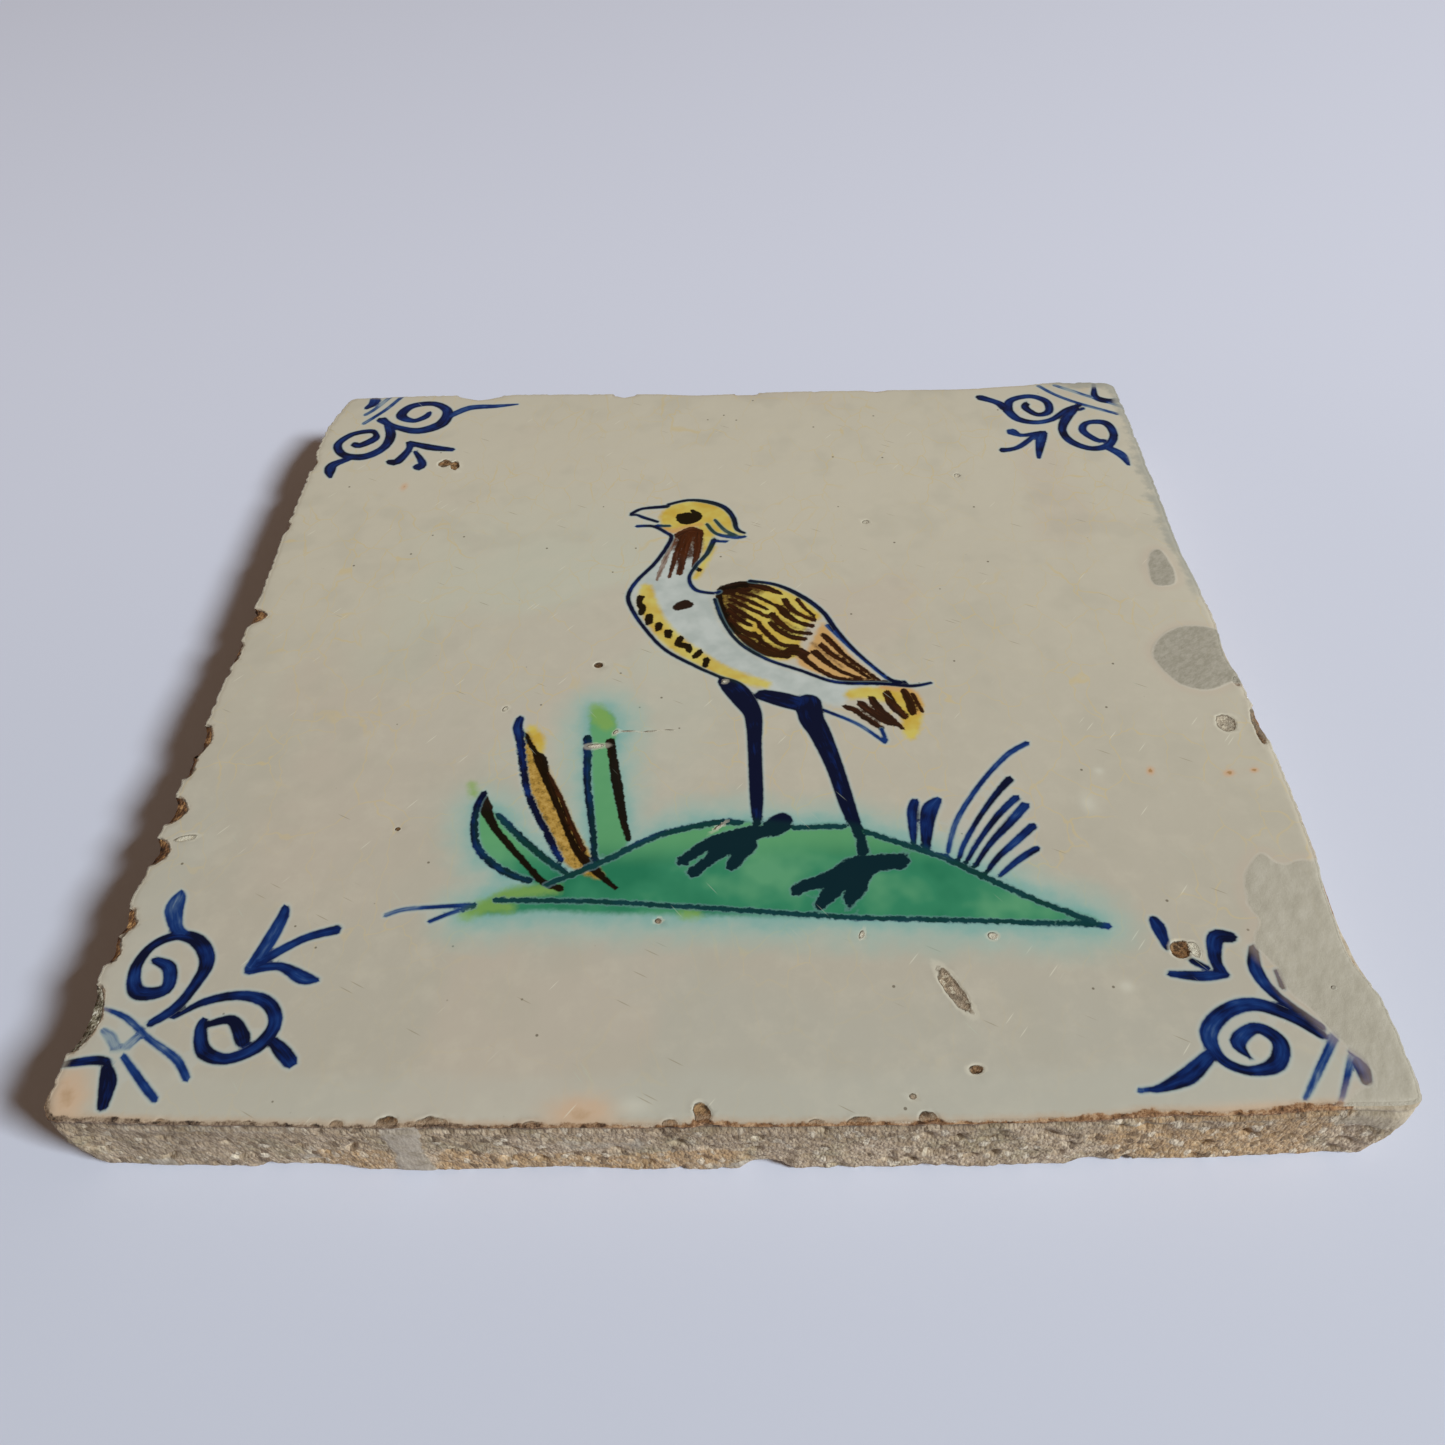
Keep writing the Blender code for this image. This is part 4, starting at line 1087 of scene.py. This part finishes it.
# Painted shade in the pits: dark patches on the brown clay inside them
shade = band(ragged, 0.40, 0.58)
opened = mixed(both(band(flaw_shade, 0.3, 0.9), both(shade, 0.85)), opened, (58, 40, 24))
flecks = band(cloud(place, 1.7, 2, 0.6), 0.54, 0.62, 0, 0.75)
opened = mixed(both(flecks, band(flaw_shade, 0.95, 0.6)), opened, (200, 188, 164))
# and a painted shade along the inside of their edge, on the walls
opened = mixed(band(break_edge, -0.20, -0.04, 0, 0.5), opened, (70, 56, 40))
surface = mixed(band(break_edge, 0.04, -0.08), surface, opened)
worn = wavering(from_rim, place, 0.9, 0.9, 4, 0.7)
edge_tone = mixed(front_rim, (190, 178, 158), (166, 140, 114))
surface = mixed(both(band(worn, 1.1, 0.1), band(front_rim, 0, 1, 0.35, 0.7)), surface, edge_tone)
uneven = shaken(worn, mottle, 1.1)
reached = calc("SUBTRACT", uneven, band(front_rim, 0, 1, 0.0, 0.22))
bare = calc("MAXIMUM", both(band(reached, 0.14, -0.06), band(front_rim, 0, 1, 0.3, 1)),
            both(bite, band(worn, 0.4, 0.2)))
surface = mixed(bare, surface, fired_clay(place, sideways))
at_right = both(band(sideways, 52, 58), band(back_and_forth, 5, 14))
rubbed = band(shaken(from_rim, mottle, 5.0), 2.2, 0.6)
surface = mixed(both(both(rubbed, at_right), 0.75), surface, (147, 145, 134))
filler_edge = shaken(filler_away, mottle, 1.0)
filler_tone = ramp(cloud(places_in_mm(tree, (0.9, 0.3, 1), 0.5), 1.1, 4, 0.7),
                   (0.30, (156, 149, 133)), (0.50, (165, 158, 142)), (0.74, (176, 169, 154)))
grey_filler = mixed(band(cloud(places_in_mm(tree, (1.2, 0.5, 1), 0.9), 1.8, 3, 0.7), 0.3, 0.7),
                    (138, 132, 117), (158, 151, 137))
filler_tone = mixed(band(back_and_forth, -18.0, -12.0), filler_tone, grey_filler)
surface = mixed(band(filler_edge, 1.6, 0.3, 0, 0.3), surface, (180, 160, 142))
surface = mixed(band(filler_edge, 0.20, -0.30, 0, 0.92), surface, filler_tone)
# A pale line along the filler's raised edge, a painted highlight
surface = mixed(band(calc("ABSOLUTE", filler_edge), 0.24, 0.04, 0, 0.4), surface,
                (188, 181, 166))
join(surface, shader.inputs["Base Color"])

grainy = both(cloud(place, 3.4, 4, 0.75), 2.0)
rough = calc("MAXIMUM", band(filler_edge, 0.2, -0.2, 0, 0.45), both(bare, 0.85))
rough = calc("MAXIMUM", rough, band(break_edge, 0.04, -0.10, 0, 0.6))
gloss = band(mottle, 0.3, 0.7, 0.10, 0.20)
shader.inputs["Specular IOR Level"].default_value = 0.2
join(calc("MAXIMUM", rough, gloss), shader.inputs["Roughness"])
torn = calc("MAXIMUM", band(from_rim, 0.45, 0.10, 0, 0.5), band(flaw_edge, 0.04, -0.10, 0, 0.8))
torn = calc("MAXIMUM", torn, band(filler_away, 0.2, -0.2, 0, 0.12))
bumped(shader, calc("ADD", both(mottle, 0.12), both(torn, grainy)), 0.15)
glazed_face.data.materials.append(tin_glaze)
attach(glazed_face, "root")


# The clay body: a slab of sandy buff clay, cut with a slant, open at the sides
# and the back where the glaze doesn't reach. Old mortar and filler still cling
# to it, and the kiln burnt a brown line under the lip. The colours paint shade
# too: that line and a groove under the lip, the upper part of the sides and the
# hollows between the sand grains are painted darker.
GRAIN = 0.17                # how deep the sand grains stand apart
CHIP_SLOPE = 0.14           # a chip's clay runs out to the side over this height
RELIEF_START = 0.45         # the sand's relief begins over this height under the lip
CORNER_SWELL = 0.6          # how much fuller the front corners stand halfway up
CORNER_START = 60.0         # past this both ways, a place is in a corner
CORNER_RUN = 3.0            # and wholly so this much farther on
CLUMP_MIDDLE = -53.8        # crumbly mortar hangs on the left side's lip here
CLUMP_WIDTH = 2.4
CHIP_FADE = 0.5             # a chip's open clay fades out about this far down
CLUMP_FADE = 1.5            # and the hanging mortar this far

# What clings to or colours the sides: side, place along it, half width, lowest
# and highest part, and how much
Patch = namedtuple("Patch", "side place half_width low high strength")
MORTAR = [Patch(*row) for row in (
    (0, -30.6, 1.9, -1, 11.6, 1), (0, -48.5, 13, 9.2, 11.2, 0.42), (0, -56.4, 1.6, 0.4, 2.6, 0.6),
    (0, -40.6, 1.8, 2.2, 4.6, 0.5), (0, 1, 5, 0, 2.4, 0.5), (0, -11, 5, 5.5, 8, 0.5),
    (1, -20, 14, 0.5, 6.5, 0.8), (1, 35, 9, 1, 8, 0.6), (2, 20, 16, 0.8, 7.5, 0.8), (2, -30, 10, 0, 5, 0.7),
    (3, 10, 12, 0.5, 7, 0.8), (3, 53.8, 4.6, 3, 9, 0.5))]
FILLED_SIDE = [Patch(*row) for row in (
    (0, 63.5, 5, 7.5, 12.5, 1), (1, -51, 17, 4.6, 12, 1), (1, -2, 5.5, 6.5, 12, 1))]
ORANGE_CLAY = [Patch(*row) for row in (
    (0, -36, 5, 0, 6, 0.7), (0, -21, 9, 0, 5, 0.8), (0, -7.5, 9, 0, 5, 1), (0, 48, 11, 0, 9, 1),
    (0, 50, 12, 9.4, 12, 1), (1, 20, 20, 2, 9, 0.7), (1, -38, 12, 0, 4, 0.8), (2, -5, 22, 3, 11, 0.8),
    (2, 48, 10, 0, 8, 0.7), (3, -20, 20, 0, 8, 0.8), (3, 38, 9, 2, 11, 0.7))]


def patch_strength(patches, side, place, height):
    """How much of a coat or a colour lies at a place on a side, with a wavy outline."""
    most = 0.0
    for patch in patches:
        if patch.side != side:
            continue
        wobble = 0.35 * fractal(place * 0.2, height * 0.3, side + 0.5)
        across = abs(place - patch.place) / patch.half_width
        upright = abs(height - (patch.low + patch.high) / 2) / ((patch.high - patch.low) / 2)
        most = max(most, patch.strength * clipped(2.2 * (1.15 - max(across, upright) + wobble)))
    return most


def sand_relief(x, y, z):
    """How far the sandy clay draws in at a place: least on each grain's middle."""
    shift = 0.25 * fractal(x * 0.7, y * 0.7, z * 0.7 + 30, 2)
    distances = noise.voronoi(Vector((x * 1.15 + shift, y * 1.15, z * 0.75)))[0]
    hole = max(0.0, noise.noise(Vector((x * 0.6, y * 0.6, z * 0.8))) - 0.36)
    lumps = 0.5 + fractal(x * 0.30, y * 0.30, z * 0.45, 2)
    return GRAIN * min(1.0, 1.5 * distances[0]) + 0.12 * lumps + 1.8 * hole


def along_side(x, y, side):
    """How far right a place lies on its side, seen from outside."""
    turn = side * math.pi / 2
    return x * round(math.cos(turn)) + y * round(math.sin(turn))


count = len(stations)
extra = reach_now - side_reach[0]
body_vertices, clings, chips = [], [], []
for row, height in enumerate(row_heights):
    below = rim_height - height
    for i, (point, out, side) in enumerate(stations):
        x, y = point
        run = along_side(x, y, side)
        mortar = patch_strength(MORTAR, side, run, height)
        filler = patch_strength(FILLED_SIDE, side, run, height)
        orange = patch_strength(ORANGE_CLAY, side, run, height)
        smooth_coat = 0.04 + 0.06 * (0.5 + fractal(x * 0.5, y * 0.5, height * 0.6, 2))
        covered = max(mortar, filler)
        coarse = sand_relief(x, y, height)
        relief = coarse * (1 - covered) + smooth_coat * covered
        reach = side_reach[row][i] + extra[i] * math.exp(-below / CHIP_SLOPE)
        reach += max(0.0, relief) * min(1.0, below / RELIEF_START)
        in_corner = clipped((min(abs(x), -y) - CORNER_START) / CORNER_RUN)
        reach -= CORNER_SWELL * in_corner * math.sin(math.pi * height / THICKNESS)
        body_vertices.append((x - out.x * reach, y - out.y * reach, height))
        clings.append((mortar, filler, orange))
        clump = clipped(2.2 - abs(y - CLUMP_MIDDLE) / CLUMP_WIDTH) if side == 3 else 0.0
        chips.append((broken[i] * math.exp(-below / CHIP_FADE), clump * math.exp(-below / CLUMP_FADE)))

body_faces = []
for row in range(len(row_heights) - 1):
    for i in range(count):
        j = (i + 1) % count
        upper = row * count
        lower = upper + count
        body_faces.append((upper + j, upper + i, lower + i, lower + j))
body_faces.append(tuple(range(count)))

UNDER_STEP = 1.3            # between points of the underside
DEEPEST_HOLLOW = 0.4
TOUCH_INSET = 0.5           # the flat underside starts this far in from the lowest row
foot_ring = np.array(body_vertices[-count:])[:, :2] - rim_out * TOUCH_INSET
foot_tree = plane_tree(foot_ring)
under_points = [tuple(p) for p in foot_ring]
for x, y in shaken_grid((-HALF, -HALF), (HALF, HALF), UNDER_STEP, 11):
    _, nearest, away = foot_tree.find((x, y, 0))
    if away > 0.5 and (foot_ring[nearest] - (x, y)) @ rim_out[nearest] > 0:
        under_points.append((x, y))
cover = geometry.delaunay_2d_cdt([Vector(p) for p in under_points], [], [list(range(count))], 1, 1e-6)
first_under = len(body_vertices)
foot_index = {}
for index, (spot, sources) in enumerate(zip(cover[0], cover[3])):
    x, y = spot
    hollow = max(0.0, fractal(x * 0.09, y * 0.09, 20.0, 4) - 0.02)
    scratch = max(0.0, fractal(x * 0.5, y * 0.06, 24.0, 3) - 0.15)
    away = foot_tree.find((x, y, 0))[2]
    depth = min(DEEPEST_HOLLOW, 0.5 * hollow + 0.3 * scratch)
    body_vertices.append((x, y, depth * min(1.0, away / 1.5)))
    clings.append((clipped(0.7 - 6 * hollow), 0.0, 0.0))
    foot_index.update({source: first_under + index for source in sources if source < count})
body_faces += [tuple(first_under + v for v in reversed(t)) for t in cover[2]]
lowest = (len(row_heights) - 1) * count
for i in range(count):
    j = (i + 1) % count
    body_faces.append((lowest + j, lowest + i, foot_index[i], foot_index[j]))

clay_body = new_piece("clay_body", body_vertices, body_faces)
clay_body.data.shade_smooth()
clay_body.data.set_sharp_from_angle(angle=math.radians(70))
note(clay_body, "clings", *np.array(clings).T)
note(clay_body, "chips", *np.vstack((chips, (0, 0))).T)

buff_clay, tree, shader = new_finish("buff_clay")
place = places_in_mm(tree)
has_mortar, has_filler, is_orange = noted(tree, "clings")
sideways, _, upward = parts(place)
tall = places_in_mm(tree, (1, 1, 0.6))
grain_reach, grain_pick = cells(tall, 1.5)
fine_reach, fine_pick = cells(tall, 3.0)
chipped, clumped, _ = noted(tree, "chips")
buff = ramp(cloud(place, 0.22, 4), (0.34, (144, 130, 104)), (0.50, (163, 143, 119)),
            (0.66, (176, 156, 133)))
orange_edge = wavering(is_orange, place, 0.6, 0.9, 4)
clay = mixed(band(orange_edge, 0.2, 0.8, 0, 0.8), buff, (168, 134, 94))
# Pale and dark grains of sand; the last row darkens the hollows between the grains, a painted shade
for value, start, end, cover, tint in (
        (fine_pick, 0.45, 0.9, 0.35, (206, 190, 164)), (fine_pick, 0.35, 0.05, 0.35, (132, 108, 80)),
        (grain_pick, 0.88, 0.95, 0.6, (214, 202, 180)), (grain_pick, 0.09, 0.05, 0.7, (84, 64, 44)),
        (grain_reach, 0.40, 0.70, 0.35, (120, 98, 72))):
    clay = mixed(band(value, start, end, 0, cover), clay, tint)
# Painted shade: the upper part of the sides is darker, in patches, under the lip
uneven_shade = band(cloud(place, 0.05, 2), 0.40, 0.60, 0.4, 1)
clay = mixed(both(band(upward, 3.5, 9.0, 0, 0.26), uneven_shade), clay, (90, 68, 42))
clay = mixed(band(sideways, -38, -56, 0, 0.16), clay, (86, 80, 68))
lip_height = wavering(upward, place, 0.35, 1.1, 4)
lip_line = band(lip_height, rim_height - 0.8, rim_height - 0.35, 0, 0.8)
clay = mixed(lip_line, clay, open_clay(place))
# The burnt line under the lip, painted wider and darker to carry the shade under the lip as well
burnt_line_and_shade = both(band(lip_height, rim_height - 1.30, rim_height - 0.55),
                  band(cloud(place, 0.10, 3), 0.35, 0.55, 0.45, 0.9))
clay = mixed(burnt_line_and_shade, clay, fired_clay(place, sideways))
# Painted shade in the groove just under the lip
lip_shade = both(band(upward, rim_height - 1.7, rim_height - 0.8),
                 band(upward, rim_height - 0.3, rim_height - 0.6))
patchily = band(cloud(place, 0.09, 3), 0.40, 0.56, 0.15, 0.8)
clay = mixed(both(lip_shade, patchily), clay, (84, 70, 56))
golden = ramp(cloud(place, 1.1, 5, 0.75), (0.38, (58, 36, 20)), (0.52, (122, 80, 42)),
              (0.66, (186, 144, 92)))
clay = mixed(band(chipped, 0.1, 0.5, 0, 0.9), clay, golden)
crumbs = ramp(cloud(place, 1.3, 5, 0.8), (0.38, (62, 56, 42)), (0.50, (128, 120, 98)),
              (0.62, (206, 200, 184)))
clay = mixed(band(clumped, 0.1, 0.5, 0, 0.95), clay, crumbs)
mortar_edge = wavering(has_mortar, place, 0.8, 0.9, 4)
mortar_tone = ramp(cloud(place, 0.7, 5, 0.65), (0.34, (134, 122, 104)), (0.5, (158, 146, 130)),
                   (0.70, (176, 166, 150)))
clay = mixed(band(mortar_edge, 0.36, 0.66, 0, 0.9), clay, mortar_tone)
filler_side = wavering(has_filler, place, 0.7, 0.7, 4)
filler_tone = ramp(cloud(place, 0.9, 5, 0.7), (0.3, (140, 126, 104)), (0.6, (168, 155, 134)))
clay = mixed(band(filler_side, 0.40, 0.60, 0, 0.92), clay, filler_tone)
join(clay, shader.inputs["Base Color"])
shader.inputs["Roughness"].default_value = 0.9
loose_sand = calc("SUBTRACT", cloud(tall, 2.6, 3, 0.7), calc("ADD", both(fine_reach, 0.9),
                                                                        both(grain_reach, 0.7)))
smoothed = calc("MAXIMUM", has_mortar, has_filler)
bumped(shader, both(loose_sand, band(smoothed, 0, 1, 1, 0.3)), 0.15)
clay_body.data.materials.append(buff_clay)

# Its flat map: the underside at the lower left, and the four sides as strips above it
MAP_EDGE = 0.02
UNDER_SHARE = 0.56
STRIPS_FROM, STRIP_LENGTH = 0.62, 0.96
STRIP, STRIP_GAP = 0.088, 0.005
flat_places = MAP_EDGE + UNDER_SHARE * (0.5 + np.array(body_vertices)[:, :2] / (2 * HALF))
for row, height in enumerate(row_heights):
    for i, (point, out, side) in enumerate(stations):
        flat_places[row * count + i] = (
            0.5 + along_side(*point, side) / (2 * HALF) * STRIP_LENGTH,
            STRIPS_FROM + side * (STRIP + STRIP_GAP) + STRIP * height / THICKNESS)
unwrap(clay_body, flat_places)
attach(clay_body, "root")
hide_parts("tile")


# The studio: a pale floor, painted paler towards the back as painted light, one
# soft lamp high at the right and in front, dim warm light all round, and the
# camera where the photograph was taken from.
FLOOR_SIZE = 4.0
HAIR = 0.00002              # metres that the floor lies under the tile
LAMP_PLACE = (2.3, -1.25, 2.06)
bpy.ops.object.select_all(action="DESELECT")
bpy.ops.mesh.primitive_plane_add(size=FLOOR_SIZE, location=(0, 0, -HAIR))
floor = bpy.context.object
floor.name = "floor"
floor_white, tree, shader = new_finish("floor_white")
place = places_in_mm(tree)
# Painted light: the floor is paler towards the back, where the light is brighter
farther = wavering(parts(place)[1], place, 0.008, 60, 1)
join(mixed(band(farther, -130, 150), (186, 188, 200), (200, 200, 212)), shader.inputs["Base Color"])
shader.inputs["Roughness"].default_value = 0.8
floor.data.materials.append(floor_white)

world = bpy.data.worlds.new("studio")
bpy.context.scene.world = world
world.use_nodes = True
room = world.node_tree.nodes["Background"]
room.inputs["Color"].default_value = (1.0, 0.68, 0.45, 1)
room.inputs["Strength"].default_value = 0.14

bpy.ops.object.light_add(type="AREA", location=LAMP_PLACE)
lamp = bpy.context.object
lamp.name = "window"
lamp.data.size = 0.66
lamp.data.energy = 131.0
lamp.data.color = (0.855, 0.945, 1.0)
lamp.rotation_euler = (-Vector(LAMP_PLACE)).to_track_quat("-Z", "Y").to_euler()
bpy.context.scene.view_settings.view_transform = "Standard"

bpy.ops.object.camera_add(location=(0.00328, -0.11612, 0.11716),
                          rotation=[math.radians(a) for a in (44.314, 1.511, 0.256)])
camera = bpy.context.object
camera.name = "camera"
camera.data.lens = 29.75
camera.data.sensor_width = 36.0
camera.data.clip_start = 0.01
bpy.context.scene.camera = camera
